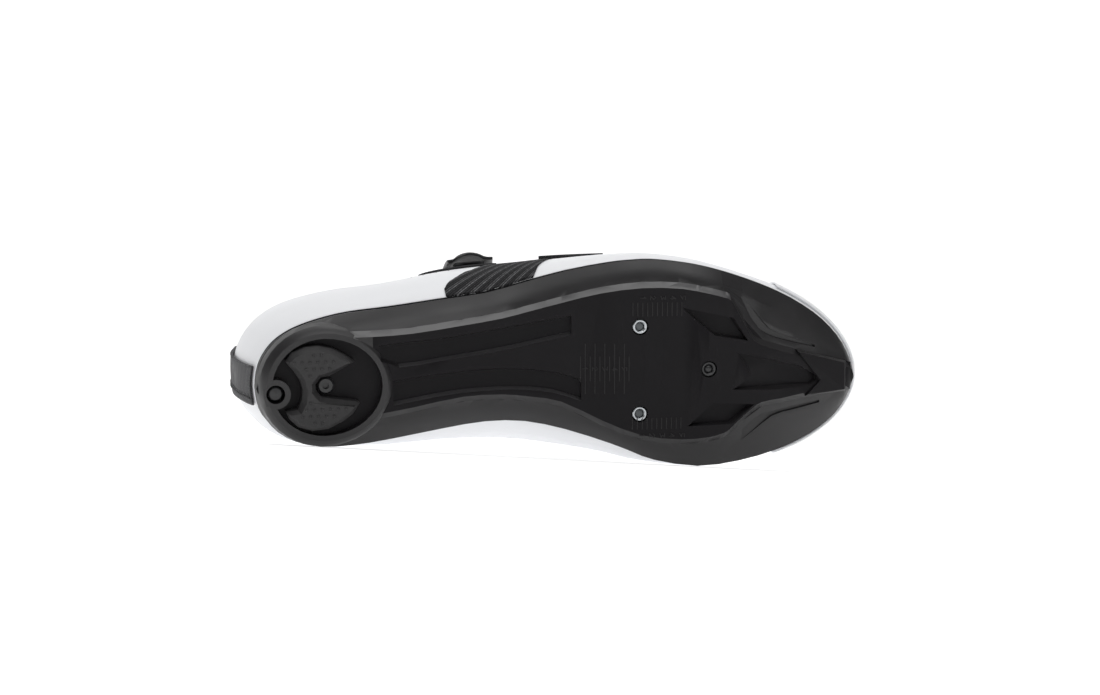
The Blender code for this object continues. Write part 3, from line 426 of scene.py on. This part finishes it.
def eased_row(table, value):
    """A table's columns at a value, straight between its rows."""
    for low, high in zip(table, table[1:]):
        if value <= high[0]:
            break
    share = (value - low[0]) / (high[0] - low[0])
    return [a + (b - a) * share for a, b in zip(low, high)][1:]


def mark_bevels(grid):
    """Sorts the sole's faces: 0 flank and ring, 1 lateral bevel and groove walls, lighter as a
    painted highlight, 2 the toe wing's inner slope, lighter as a painted sheen, 3 tread plate
    and the well's floor, darker as painted shade."""
    for face in grid.faces:
        level = face.normal.dot(DOWN)
        x, y, z = to_shoe(face.calc_center_median())
        edge, far_edge = eased_row(PLATE_EDGE, x)
        ahead = (x - RING_MIDDLE[0]) / RING_REACH
        aside = (y - RING_MIDDLE[1]) / RING_SIDE
        in_ring = ahead < 0 or math.hypot(ahead, aside) < 1
        within = edge < y < far_edge
        well_within = edge + BEVEL_WIDTH < y < far_edge - BEVEL_WIDTH
        flat = within and level > PLATE_LEVEL or well_within and level > INNER_LEVEL
        well_floor = level > FLOOR_LEVEL and z > WELL_DEPTH
        is_floor = well_floor if in_ring else flat
        # The plate's downward faces and the well's floor take the darker copy: painted shade
        if is_floor:
            face.material_index = 3
        # Only faces turned to the lateral side, up towards the lamps, get the painted highlight
        # and sheen
        if not FLANK_LEVEL < level < FLOOR_LEVEL or face.normal.dot(-MEDIAL) < SIDEWARD:
            continue
        on_bevel = PLATE_EDGE[0][0] < x < BEVEL_FRONT and -BEVEL_OUTER < y - edge < BEVEL_WIDTH
        in_waist = RING_FRONT < x < GROOVES_FRONT and edge + BEVEL_WIDTH < y < GROOVES_MEDIAL
        if on_bevel or in_waist:
            face.material_index = 1
        elif WING_REAR < x < WING_FRONT and y > edge - WING_ACROSS:
            face.material_index = 2


def edged_copy(node, materials, width=EDGE_WIDTH, angle=EDGE_ANGLE, mark=None):
    """Takes a node's place with the same form, its edges slightly rounded."""
    grid = bmesh.new()
    grid.from_mesh(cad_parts[node].data)
    bmesh.ops.remove_doubles(grid, verts=grid.verts, dist=WELD)
    bmesh.ops.dissolve_limit(
        grid, angle_limit=FLAT_ANGLE, verts=grid.verts, edges=grid.edges, delimit={"NORMAL"}
    )
    grid.normal_update()
    if mark:
        mark(grid)
    made = link(node + "_body", mesh_from(node + "_body", grid, smooth=True), None)
    for material in materials:
        made.data.materials.append(material)
    made.data.set_sharp_from_angle(angle=math.radians(angle))
    edges = made.modifiers.new("Edges", "BEVEL")
    edges.width = width
    edges.segments = 2
    edges.limit_method = "ANGLE"
    edges.angle_limit = math.radians(angle)
    edges.harden_normals = True
    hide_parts(node)


def tree_from(mesh):
    """A ray-casting tree of a mesh."""
    mesh.calc_loop_triangles()
    points = [vert.co.copy() for vert in mesh.vertices]
    faces = [tuple(tri.vertices) for tri in mesh.loop_triangles]
    return BVHTree.FromPolygons(points, faces)


def tree_of(node):
    """A ray-casting tree of a CAD node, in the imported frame."""
    return tree_from(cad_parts[node].data)


def shaped_tree(piece):
    """A ray-casting tree of a piece with its modifiers."""
    shape = piece.evaluated_get(bpy.context.evaluated_depsgraph_get())
    mesh = shape.to_mesh()
    tree = tree_from(mesh)
    shape.to_mesh_clear()
    return tree


def around(tree, x, angle):
    """Where the outer face lies round the foot's axis at x, from the lateral side (0)
    over the top (90) to the medial side (180), in degrees; None in an opening."""
    turn = math.radians(angle)
    out = turn_to_world((0.0, -math.cos(turn), math.sin(turn)))
    start = to_world((x, 0.0, AXIS_HEIGHT)) + out * RAY_START
    spot, normal, _, _ = tree.ray_cast(start, -out, RAY_REACH)
    if spot is None or normal.dot(out) < LEAST_FACING:
        return None
    return spot, normal


def first_at(tree, x, start, step):
    """The first angle from start, going by step, at which the outer face is there."""
    angle = start
    while not around(tree, x, angle) and abs(angle - start) < MOST_SWEEP:
        angle += step
    return angle


def near_angle(tree, x, angle):
    """The outer face at an angle, or as near to it as there is one."""
    for change in NEARBY_ANGLES:
        found = around(tree, x, angle + change)
        if found:
            return found
    return around(tree, x, SIDE_ANGLE)


def under(tree, x, y):
    """The lowest surface over the ground at x, y of the shoe's frame, and its normal."""
    spot, normal, _, _ = tree.ray_cast(to_world((x, y, UNDER_GROUND)), -DOWN)
    return spot, normal


def box_on(grid, spot, along, across, out, length, width, height):
    """A small block that stands on a surface, its foot slightly sunk."""
    corners = []
    for rise, share in ((BLOCK_SINK, 1.0), (height, BLOCK_TAPER)):
        for a, b in ((-1, -1), (1, -1), (1, 1), (-1, 1)):
            place = spot + along * (a * length / 2) + across * (b * width * share / 2) + out * rise
            corners.append(grid.verts.new(place))
    low, high = corners[:4], corners[4:]
    grid.faces.new(list(reversed(low)))
    grid.faces.new(high)
    for i in range(4):
        j = (i + 1) % 4
        grid.faces.new((low[i], low[j], high[j], high[i]))


def mesh_from(name, grid, smooth=False):
    """Turns a bmesh into a mesh with its faces looking outwards."""
    mesh = bpy.data.meshes.new(name)
    bmesh.ops.recalc_face_normals(grid, faces=grid.faces)
    grid.to_mesh(mesh)
    grid.free()
    if smooth:
        mesh.shade_smooth()
    return mesh


def set_camera():
    """The camera at the photograph's angle to the shoe, kept over the floor."""
    turn, tilt = VIEW_TURN, VIEW_TILT
    towards = Vector(
        (-math.sin(turn) * math.cos(tilt), -math.sin(tilt), -math.cos(turn) * math.cos(tilt))
    )
    upwards = Vector(
        (math.sin(turn) * math.sin(tilt), -math.cos(tilt), math.cos(turn) * math.sin(tilt))
    )
    target = to_world(VIEW_TARGET)
    place = target + turn_to_world(towards) * VIEW_DISTANCE
    place.z = max(place.z, VIEW_LOWEST)
    data = bpy.data.cameras.new("camera")
    data.sensor_width = SENSOR_WIDTH
    data.lens = SENSOR_WIDTH * (place - target).length / VIEW_WIDTH
    data.clip_start = CLIP_START
    camera = bpy.data.objects.new("camera", data)
    bpy.context.scene.collection.objects.link(camera)
    back = (place - target).normalized()
    up = turn_to_world(upwards)
    right = up.cross(back).normalized()
    up = back.cross(right)
    axes = Matrix((right, up, back)).transposed()
    camera.matrix_world = Matrix.Translation(place) @ axes.to_4x4()
    bpy.context.scene.camera = camera


def area_light(name, place, target, size, power):
    data = bpy.data.lights.new(name, "AREA")
    data.shape = "RECTANGLE"
    data.size, data.size_y = size
    data.energy = power
    light = bpy.data.objects.new(name, data)
    light.location = place
    direction = Vector(target) - Vector(place)
    light.rotation_euler = direction.to_track_quat("-Z", "Y").to_euler()
    bpy.context.scene.collection.objects.link(light)


def set_studio():
    """A pale floor that runs up into a backdrop, soft lights and a bright surround."""
    grid = bmesh.new()
    profile = [(-FLOOR_REACH, 0.0), (CURVE_START, 0.0)]
    for step in range(1, CURVE_STEPS + 1):
        angle = math.radians(90 * step / CURVE_STEPS)
        away = CURVE_START + CURVE_RADIUS * math.sin(angle)
        profile.append((away, CURVE_RADIUS - CURVE_RADIUS * math.cos(angle)))
    profile.append((CURVE_START + CURVE_RADIUS, BACKDROP_TOP))
    rows = []
    for x in (-FLOOR_REACH, FLOOR_REACH):
        rows.append([grid.verts.new((x, y, z)) for y, z in profile])
    for i in range(len(profile) - 1):
        grid.faces.new((rows[0][i], rows[1][i], rows[1][i + 1], rows[0][i + 1]))
    mesh = mesh_from("studio", grid, smooth=True)
    nodes = Nodes("studio_paper")
    nodes.shader.inputs["Emission Color"].default_value = shade(1.0, 1.0, 1.0)
    paper = nodes.finish(shade(0.93, 0.93, 0.93), 0.9, Emission_Strength=PAPER_GLOW)
    mesh.materials.append(paper)
    studio = bpy.data.objects.new("studio", mesh)
    bpy.context.scene.collection.objects.link(studio)
    for light in LIGHTS:
        area_light(*light)
    world = bpy.data.worlds.new("surround")
    world.use_nodes = True
    background = world.node_tree.nodes["Background"]
    background.inputs["Color"].default_value = shade(1.0, 1.0, 1.0)
    background.inputs["Strength"].default_value = SURROUND_STRENGTH
    bpy.context.scene.world = world
    bpy.context.scene.view_settings.view_transform = "Standard"


def sheet(name, rows, material, thickness):
    """A thin closed sheet over rows of points."""
    grid = bmesh.new()
    made_rows = [[grid.verts.new(point) for point in row] for row in rows]
    for first, second in zip(made_rows, made_rows[1:]):
        for i in range(len(first) - 1):
            grid.faces.new((first[i], first[i + 1], second[i + 1], second[i]))
    made = link(name, mesh_from(name, grid, smooth=True), material)
    wall = made.modifiers.new("Wall", "SOLIDIFY")
    wall.thickness = thickness
    wall.offset = 0.0


def joined_rings(grid, rings):
    """Faces between rings of points that have the same count."""
    count = len(rings[0])
    for first, second in zip(rings, rings[1:]):
        for k in range(count):
            j = (k + 1) % count
            grid.faces.new((first[k], first[j], second[j], second[k]))


def cord(name, points, radius, material):
    """A round cord along points, with closed ends."""
    grid = bmesh.new()
    rings = []
    for i, point in enumerate(points):
        ahead = (points[min(i + 1, len(points) - 1)] - points[max(i - 1, 0)]).normalized()
        side = ahead.cross(CORD_SIDE).normalized()
        up = side.cross(ahead)
        ring = []
        for k in range(CORD_SIDES):
            turn = 2 * math.pi * k / CORD_SIDES
            out = side * math.cos(turn) + up * math.sin(turn)
            ring.append(grid.verts.new(point + out * radius))
        rings.append(ring)
    joined_rings(grid, rings)
    grid.faces.new(rings[0])
    grid.faces.new(list(reversed(rings[-1])))
    link(name, mesh_from(name, grid, smooth=True), material)


def stitches(name, places, material):
    """Short raised thread loops along a row of (spot, normal) places."""
    grid = bmesh.new()
    walked = 0.0
    for (spot, normal), (ahead, _) in zip(places, places[1:]):
        walked += (ahead - spot).length
        if walked < STITCH_PITCH:
            continue
        walked = 0.0
        along = (ahead - spot).normalized()
        across = normal.cross(along).normalized()
        box_on(grid, spot, along, across, normal, STITCH_LENGTH, STITCH_WIDTH, STITCH_WIDTH)
    link(name, mesh_from(name, grid), material)


def dome_on(grid, spot, normal, radius, height, sides=10):
    """A low dome that stands on a surface."""
    side = normal.cross(DOME_SIDE).normalized()
    up = side.cross(normal)
    rings = []
    for rise, share in DOME_PROFILE:
        ring = []
        for k in range(sides):
            turn = 2 * math.pi * k / sides
            out = side * math.cos(turn) + up * math.sin(turn)
            ring.append(grid.verts.new(spot + out * radius * share + normal * height * rise))
        rings.append(ring)
    joined_rings(grid, rings)
    top = grid.verts.new(spot + normal * height)
    for k in range(sides):
        grid.faces.new((rings[-1][k], rings[-1][(k + 1) % sides], top))
    grid.faces.new(list(reversed(rings[0])))


def skin_nodes():
    """The CAD nodes under their looks, each with its own form."""
    sole_looks = (nylon, painted_highlight_bevel_look, scale_and_painted_sheen_look, painted_shade_plate_look)
    edged_copy("outsole", sole_looks, mark=mark_bevels)
    edged_copy("heel_pad", (rubber,), width=PAD_EDGE)
    smooth_copy("toe_cap", cap_white)
    smooth_copy("heel_strip", webbing_grey)
    smooth_copy("tongue", padding)
    smooth_copy("insole", lining, levels=1)
    edged_copy("forefoot_strap", (strap_cloth,), angle=STRAP_EDGE_ANGLE)
    smooth_copy("ladder_strap", matt_plastic, levels=1)
    smooth_copy("buckle_cover", black_plastic)
    dress("heel_pad_screw", black_metal)
    dress("heel_stud", black_plastic)
    dress("cleat_nut_lateral", steel)
    dress("cleat_nut_medial", steel)
    dress("cleat_nut_front", black_metal)


def skin_upper():
    """The upper's shell: white outside, dark lining inside, black binding at its edges."""
    skin = smooth_copy("upper", white)
    mesh = skin.data
    mesh.materials.append(lining)
    mesh.materials.append(binding)
    tree = tree_from(mesh)
    for face in mesh.polygons:
        normal = face.normal
        start = face.center - normal * SURFACE_CLEAR
        behind, _, _, _ = tree.ray_cast(start, -normal, WALL_SEARCH)
        place = to_shoe(face.center)
        axis_x = min(max(place.x, AXIS_ENDS[0]), AXIS_ENDS[1])
        axis_z = min(AXIS_HEIGHT, TOE_AXIS_HEIGHT - TOE_AXIS_SLOPE * place.x)
        outward = turn_to_world(place - Vector((axis_x, 0.0, axis_z)))
        at_collar = place.x < RIM_FRONT and place.z > RIM_LOWEST
        rim = at_collar or normal.dot(DOWN) > RIM_LEVEL
        if behind is None and rim:
            face.material_index = 2
        elif normal.dot(outward) < 0:
            face.material_index = 1
    return skin


# The black mesh panel on the lateral side: its lift and thickness, its points from foot to
# throat, along the shoe and under the turn of the upper, and how its foot is searched
PANEL_LIFT = 0.45 * MM
PANEL_THICKNESS = 0.35 * MM
PANEL_ACROSS = 44
PANEL_ALONG = 30
PANEL_UNDER = 9
PANEL_LOWEST_ANGLE = -60.0
PANEL_TOP_ANGLE = 89.0
ANGLE_STEP = 0.5
UNDERSIDE_LEVEL = 0.45
# Its outline: the share of the way from foot to throat, then its rear and front x
PANEL_EDGES = (
    (0.00, 0.0948, 0.1345),
    (0.12, 0.0985, 0.1385),
    (0.26, 0.1075, 0.1460),
    (0.38, 0.1165, 0.1570),
    (0.48, 0.1240, 0.1720),
    (0.60, 0.1280, 0.1810),
    (0.80, 0.1310, 0.1870),
    (1.00, 0.1330, 0.1900),
)


def panel_spot(x, share):
    """A place on the upper: share 1 at the throat, 0 at the turn to the underside, -1 at
    the last of the outer face below it."""
    first = first_at(upper_tree, x, PANEL_LOWEST_ANGLE, ANGLE_STEP)
    low = first
    while near_angle(upper_tree, x, low)[1].dot(DOWN) > UNDERSIDE_LEVEL and low < SIDE_ANGLE:
        low += ANGLE_STEP
    high = first_at(upper_tree, x, PANEL_TOP_ANGLE, -ANGLE_STEP)
    reach = high - low if share > 0 else low - first
    spot, normal = near_angle(upper_tree, x, low + reach * share)
    return spot + normal * PANEL_LIFT


def add_vamp_mesh():
    """The black engineered mesh between the white quarter and the white toe."""
    shares = [-1.0 + j / PANEL_UNDER for j in range(PANEL_UNDER)]
    shares += [j / PANEL_ACROSS for j in range(PANEL_ACROSS + 1)]
    rows = []
    for share in shares:
        start, end = eased_row(PANEL_EDGES, max(share, 0.0))
        row = []
        for i in range(PANEL_ALONG + 1):
            x = start + (end - start) * i / PANEL_ALONG
            row.append(panel_spot(x, share))
        rows.append(row)
    sheet("vamp_mesh", rows, mesh_cloth, PANEL_THICKNESS)


# The cleat scales: the ticks' and strokes' sizes, and the box that a digit fills
TICK_HEIGHT = 0.25 * MM
TICK_WIDTH = 0.42 * MM
DIGIT_HEIGHT = 2.2 * MM
DIGIT_WIDTH = 1.5 * MM
DIGIT_RAISE = 0.35 * MM
# The digits 1 to 5, each one line through points of a unit box
DIGITS = (
    ((0.5, 0.0), (0.5, 1.0), (0.2, 0.75)),
    ((0.0, 0.8), (0.5, 1.0), (1.0, 0.7), (0.0, 0.0), (1.0, 0.0)),
    ((0.0, 1.0), (1.0, 1.0), (0.4, 0.58), (1.0, 0.3), (0.0, 0.05)),
    ((0.75, 0.0), (0.75, 1.0), (0.0, 0.3), (1.0, 0.3)),
    ((1.0, 1.0), (0.1, 1.0), (0.05, 0.55), (0.9, 0.4), (0.0, 0.05)),
)
# Rows of ticks: y, first and last x, how many, and the ticks' length
TICK_ROWS = (
    (-0.0296, 0.1766, 0.1986, 11, 6.2 * MM),
    (0.0228, 0.1766, 0.1986, 11, 5.2 * MM),
    (-0.0025, 0.1556, 0.1729, 5, 23.0 * MM),
    (-0.0025, 0.1535, 0.1750, 6, 11.4 * MM),
)
# Rows of numbers: y, first and last x
NUMBER_ROWS = (
    (-0.0348, 0.1811, 0.1991),
    (0.0284, 0.1811, 0.1991),
    (-0.0025, 0.1556, 0.1729),
)


def add_ticks(grid, tree):
    """The rows of ticks, each tick across the shoe."""
    for y, first, last, count, length in TICK_ROWS:
        for i in range(count):
            x = first + (last - first) * i / (count - 1)
            spot, normal = under(tree, x, y)
            across = normal.cross(MEDIAL).normalized()
            box_on(grid, spot, MEDIAL, across, normal, length, TICK_WIDTH, TICK_HEIGHT)


def add_stroke(grid, tree, x, y, start, end):
    """One stroke of the digit in the middle of x, y, between two points of the unit box."""
    ends = []
    for right, up in (start, end):
        digit_x = x + (up - 0.5) * DIGIT_HEIGHT
        digit_y = y + (right - 0.5) * DIGIT_WIDTH
        spot, normal = under(tree, digit_x, digit_y)
        ends.append(spot)
    span = ends[1] - ends[0]
    across = normal.cross(span).normalized()
    middle = (ends[0] + ends[1]) / 2
    length = span.length + TICK_WIDTH
    box_on(grid, middle, span.normalized(), across, normal, length, TICK_WIDTH, DIGIT_RAISE)


def add_scales():
    """Fine raised ticks and plain numbers where the cleat is set."""
    tree = tree_of("outsole")
    grid = bmesh.new()
    add_ticks(grid, tree)
    for y, first, last in NUMBER_ROWS:
        for i, points in enumerate(DIGITS):
            x = first + (last - first) * i / (len(DIGITS) - 1)
            for start, end in zip(points, points[1:]):
                add_stroke(grid, tree, x, y, start, end)
    link("cleat_scales", mesh_from("cleat_scales", grid), scale_and_painted_sheen_look)


# The heel pad's dots, in rows set half a pitch apart, where the pad's face is all round
DOT_PITCH = 3.5 * MM
DOT_ROW_PITCH = 0.87
DOT_CLEAR = 1.5 * MM
DOT_RADIUS = 0.75 * MM
DOT_HEIGHT = 0.45 * MM
PAD_FACE_DEPTH = 0.3 * MM


def add_pad_dots():
    """Low round dots on the heel pad's two lobes."""
    tree = tree_of("heel_pad")
    grid = bmesh.new()
    for row in range(-5, 6):
        for column in range(-6, 7):
            x = RING_MIDDLE[0] + (column + 0.5 * (row % 2)) * DOT_PITCH
            y = RING_MIDDLE[1] + row * DOT_PITCH * DOT_ROW_PITCH
            clear = True
            for ahead, aside in ((0, 0), (1, 0), (-1, 0), (0, 1), (0, -1)):
                spot, _ = under(tree, x + ahead * DOT_CLEAR, y + aside * DOT_CLEAR)
                if spot is None or to_shoe(spot).z > PAD_FACE_DEPTH:
                    clear = False
            if clear:
                spot, normal = under(tree, x, y)
                dome_on(grid, spot, normal, DOT_RADIUS, DOT_HEIGHT)
    link("heel_pad_dots", mesh_from("heel_pad_dots", grid, smooth=True), rubber)


# What fills the cleat nuts' bores: places, radii and heights
PLUG_PLACE = (0.2114, -0.0016, 0.0016)
PLUG_RADIUS = 1.95 * MM
PLUG_HEIGHT = 1.2 * MM
# The bores' floors: a dim, flat copy of the nuts' steel, as painted shade
BORE_PLACES = ((0.1800, -0.0216, 0.0042), (0.1800, 0.0184, 0.0042))
BORE_RADIUS = 1.9 * MM
BORE_HEIGHT = 0.2 * MM
BORE_SIDES = 20


def add_domes(name, places, radius, height, material):
    """Low domes that look down at places of the shoe's frame."""
    grid = bmesh.new()
    for place in places:
        dome_on(grid, to_world(place), DOWN, radius, height, sides=BORE_SIDES)
    link(name, mesh_from(name, grid, smooth=True), material)


# Rows of holes: how many, the first x and its step, then the first angle and its step. The
# first row is above the lateral arch and the other two are on the medial side.
HOLE_ROWS = (
    (4, 0.0830, 0.0059, 9.0, 1.0),
    (6, 0.1065, 0.0056, 172.0, -0.4),
    (9, 0.0985, 0.0062, 176.5, -0.6),
)
HOLE_RADIUS = 0.62 * MM
HOLE_RISE = 0.06 * MM
HOLE_SIDES = 12


def add_perforations():
    """Small round holes through the upper, as dark spots of painted shade."""
    grid = bmesh.new()
    for count, first_x, x_step, first_angle, angle_step in HOLE_ROWS:
        for i in range(count):
            found = around(upper_tree, first_x + x_step * i, first_angle + angle_step * i)
            if found:
                dome_on(grid, *found, HOLE_RADIUS, HOLE_RISE, sides=HOLE_SIDES)
    link("perforations", mesh_from("perforations", grid, smooth=True), hole_painted_shade)


# The heel strip's piping and stitches: the strip's half width, the lines' ends over the
# ground, their count of steps, their insets from its edges, and the piping's radius and
# least count of points
HEEL_STRIP_HALF = 8.25 * MM
HEEL_LINE_LOW = 0.0200
HEEL_LINE_HIGH = 0.0865
HEEL_LINE_STEPS = 40
PIPING_INSET = 0.35 * MM
SEAM_INSET = 1.7 * MM
PIPING_RADIUS = 0.55 * MM
PIPING_LEAST_POINTS = 4


def heel_line(tree, y):
    """Places on the heel strip along a line at y, from low to high."""
    places = []
    for i in range(HEEL_LINE_STEPS + 1):
        z = HEEL_LINE_LOW + (HEEL_LINE_HIGH - HEEL_LINE_LOW) * i / HEEL_LINE_STEPS
        start = to_world((BEHIND_HEEL, y, z))
        spot, normal, _, _ = tree.ray_cast(start, FORWARD, HEEL_RAY_REACH)
        if spot is not None:
            places.append((spot, normal))
    return places


def add_heel_trim():
    """The heel strip's two rows of stitches, and piping along its medial edge. Rays along
    its lateral edge pass it by, so that edge has no piping."""
    tree = shaped_tree(bpy.data.objects["heel_strip_skin"])
    for side, name in ((-1, "lateral"), (1, "medial")):
        edge = heel_line(tree, side * (HEEL_STRIP_HALF - PIPING_INSET))
        points = [spot for spot, _ in edge]
        if len(points) >= PIPING_LEAST_POINTS:
            cord("heel_piping_" + name, points, PIPING_RADIUS, binding)
        seam = heel_line(tree, side * (HEEL_STRIP_HALF - SEAM_INSET))
        stitches("heel_stitches_" + name, seam, thread_grey)


# The ladder strap's ribs: their x, the first angle, its step and count, their pitch, and a
# rib's length, width and height
LADDER_X = 0.1132
LADDER_START = 50.0
LADDER_STEP = 0.35
LADDER_STEPS = 223
TOOTH_PITCH = 2.4 * MM
TOOTH_SIZE = (8.5 * MM, 1.2 * MM, 0.55 * MM)


def add_ladder_teeth():
    """The ladder strap's cross ribs, from the buckle over the instep."""
    tree = shaped_tree(bpy.data.objects["ladder_strap_skin"])
    grid = bmesh.new()
    last = None
    for step in range(LADDER_STEPS):
        found = around(tree, LADDER_X, LADDER_START + step * LADDER_STEP)
        if not found:
            continue
        spot, normal = found
        if last is not None:
            if (spot - last).length < TOOTH_PITCH:
                continue
            along = normal.cross(FORWARD).normalized()
            box_on(grid, spot, FORWARD, along, normal, *TOOTH_SIZE)
        last = spot
    link("ladder_teeth", mesh_from("ladder_teeth", grid), matt_plastic)


# The plate under the buckle: its rear x and length, its angle round the foot, its lift and
# thickness, and its points along and across
BASE_REAR = 0.0885
BASE_LENGTH = 0.0355
BUCKLE_ANGLE = 27.0
BASE_LIFT = 0.75 * MM
BASE_THICKNESS = 0.9 * MM
BASE_ALONG = 24
BASE_ACROSS = 8
# Half its angle across, how fast it widens from its point, the point's least width, where
# it narrows again, and how fast
BASE_HALF = 12.65
BASE_WIDENS = 1.7
BASE_LEAST = 0.004
BASE_SHOULDER = 0.9
BASE_NARROWS = 2.2


def add_buckle_base():
    """The leaf-shaped plate under the buckle, its point towards the heel."""
    rows = []
    for i in range(BASE_ALONG + 1):
        share = i / BASE_ALONG
        x = BASE_REAR + BASE_LENGTH * share
        widened = min(1.0, math.sqrt(max(share * BASE_WIDENS, BASE_LEAST)))
        narrowed = 1.0 - BASE_NARROWS * max(share - BASE_SHOULDER, 0.0)
        half = BASE_HALF * widened * narrowed
        row = []
        for j in range(BASE_ACROSS + 1):
            angle = BUCKLE_ANGLE + half * (2 * j / BASE_ACROSS - 1)
            spot, normal = near_angle(upper_tree, x, angle)
            row.append(spot + normal * BASE_LIFT)
        rows.append(row)
    sheet("buckle_base", rows, matt_plastic, BASE_THICKNESS)


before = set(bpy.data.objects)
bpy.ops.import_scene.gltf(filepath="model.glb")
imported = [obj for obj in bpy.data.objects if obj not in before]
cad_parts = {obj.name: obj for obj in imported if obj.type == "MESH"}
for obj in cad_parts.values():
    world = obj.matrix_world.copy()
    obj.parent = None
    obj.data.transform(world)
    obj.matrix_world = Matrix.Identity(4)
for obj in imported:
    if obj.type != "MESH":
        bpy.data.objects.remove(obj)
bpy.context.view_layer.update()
set_camera()
set_studio()

# The nylon's looks: name, dark and light colour, roughness and specular level
nylon = nylon_look(
    "flank_nylon", shade(0.008, 0.0075, 0.008), shade(0.014, 0.013, 0.0145), 0.36, 0.50
)
# A darker, less glossy copy for the tread plate and the heel well's floor: painted shade
painted_shade_plate_look = nylon_look(
    "tread_plate_painted_shade_nylon", shade(0.004, 0.0035, 0.0042), shade(0.009, 0.008, 0.0095), 0.40, 0.14
)
# A lighter, glossier copy for the lateral bevel and groove walls: painted highlight
painted_highlight_bevel_look = nylon_look(
    "bevel_painted_highlight_nylon", shade(0.030, 0.029, 0.031), shade(0.045, 0.044, 0.046), 0.32, 0.9
)
# The scales' ticks and numbers in their own tone; on the toe wing's lateral-facing slope, a
# lighter copy as a painted sheen
scale_and_painted_sheen_look = nylon_look(
    "scale_ticks_and_painted_sheen_nylon", shade(0.012, 0.011, 0.012), shade(0.020, 0.019, 0.020), 0.45, 0.3
)
white = synthetic_look("upper_synthetic")
cap_white = synthetic_look("toe_cap_synthetic")
rubber = rubber_look()
steel = steel_look()
mesh_cloth = knit_look()
# Smooth looks: name, colour and roughness
black_plastic = plastic_look("black_plastic", shade(0.012, 0.012, 0.013), 0.36)
matt_plastic = plastic_look("matt_plastic", shade(0.010, 0.010, 0.011), 0.55)
# A dim, non-metal copy of the steel for the nuts' bores: painted shade
bore_painted_shade_steel = plastic_look("bore_painted_shade_steel", shade(0.060, 0.068, 0.072), 0.35)
black_metal = plastic_look("black_metal", shade(0.016, 0.016, 0.017), 0.30)
# Dark domes that stand for the holes' insides: painted shade
hole_painted_shade = plastic_look("hole_shadow", shade(0.020, 0.020, 0.022), 0.9)
# Woven looks: name, dark and light colour and the weave's scale
binding = woven_look("binding", shade(0.006, 0.006, 0.007), shade(0.022, 0.022, 0.024), 700.0)
thread_grey = woven_look("thread_grey", shade(0.05, 0.05, 0.055), shade(0.14, 0.14, 0.15), 900.0)
webbing_grey = woven_look(
    "heel_webbing", shade(0.020, 0.020, 0.022), shade(0.090, 0.090, 0.098), 620.0
)
strap_cloth = woven_look(
    "strap_webbing", shade(0.008, 0.008, 0.009), shade(0.035, 0.035, 0.037), 560.0
)
lining = woven_look("lining", shade(0.030, 0.030, 0.032), shade(0.085, 0.085, 0.090), 600.0)
padding = woven_look("tongue_mesh", shade(0.010, 0.010, 0.011), shade(0.045, 0.045, 0.048), 480.0)

skin_nodes()
upper_skin = skin_upper()
bpy.context.view_layer.update()
upper_tree = shaped_tree(upper_skin)
add_vamp_mesh()
add_scales()
add_pad_dots()
add_domes("front_nut_plug", (PLUG_PLACE,), PLUG_RADIUS, PLUG_HEIGHT, black_plastic)
add_perforations()
add_heel_trim()
add_ladder_teeth()
add_buckle_base()
add_domes("bore_floors", BORE_PLACES, BORE_RADIUS, BORE_HEIGHT, bore_painted_shade_steel)
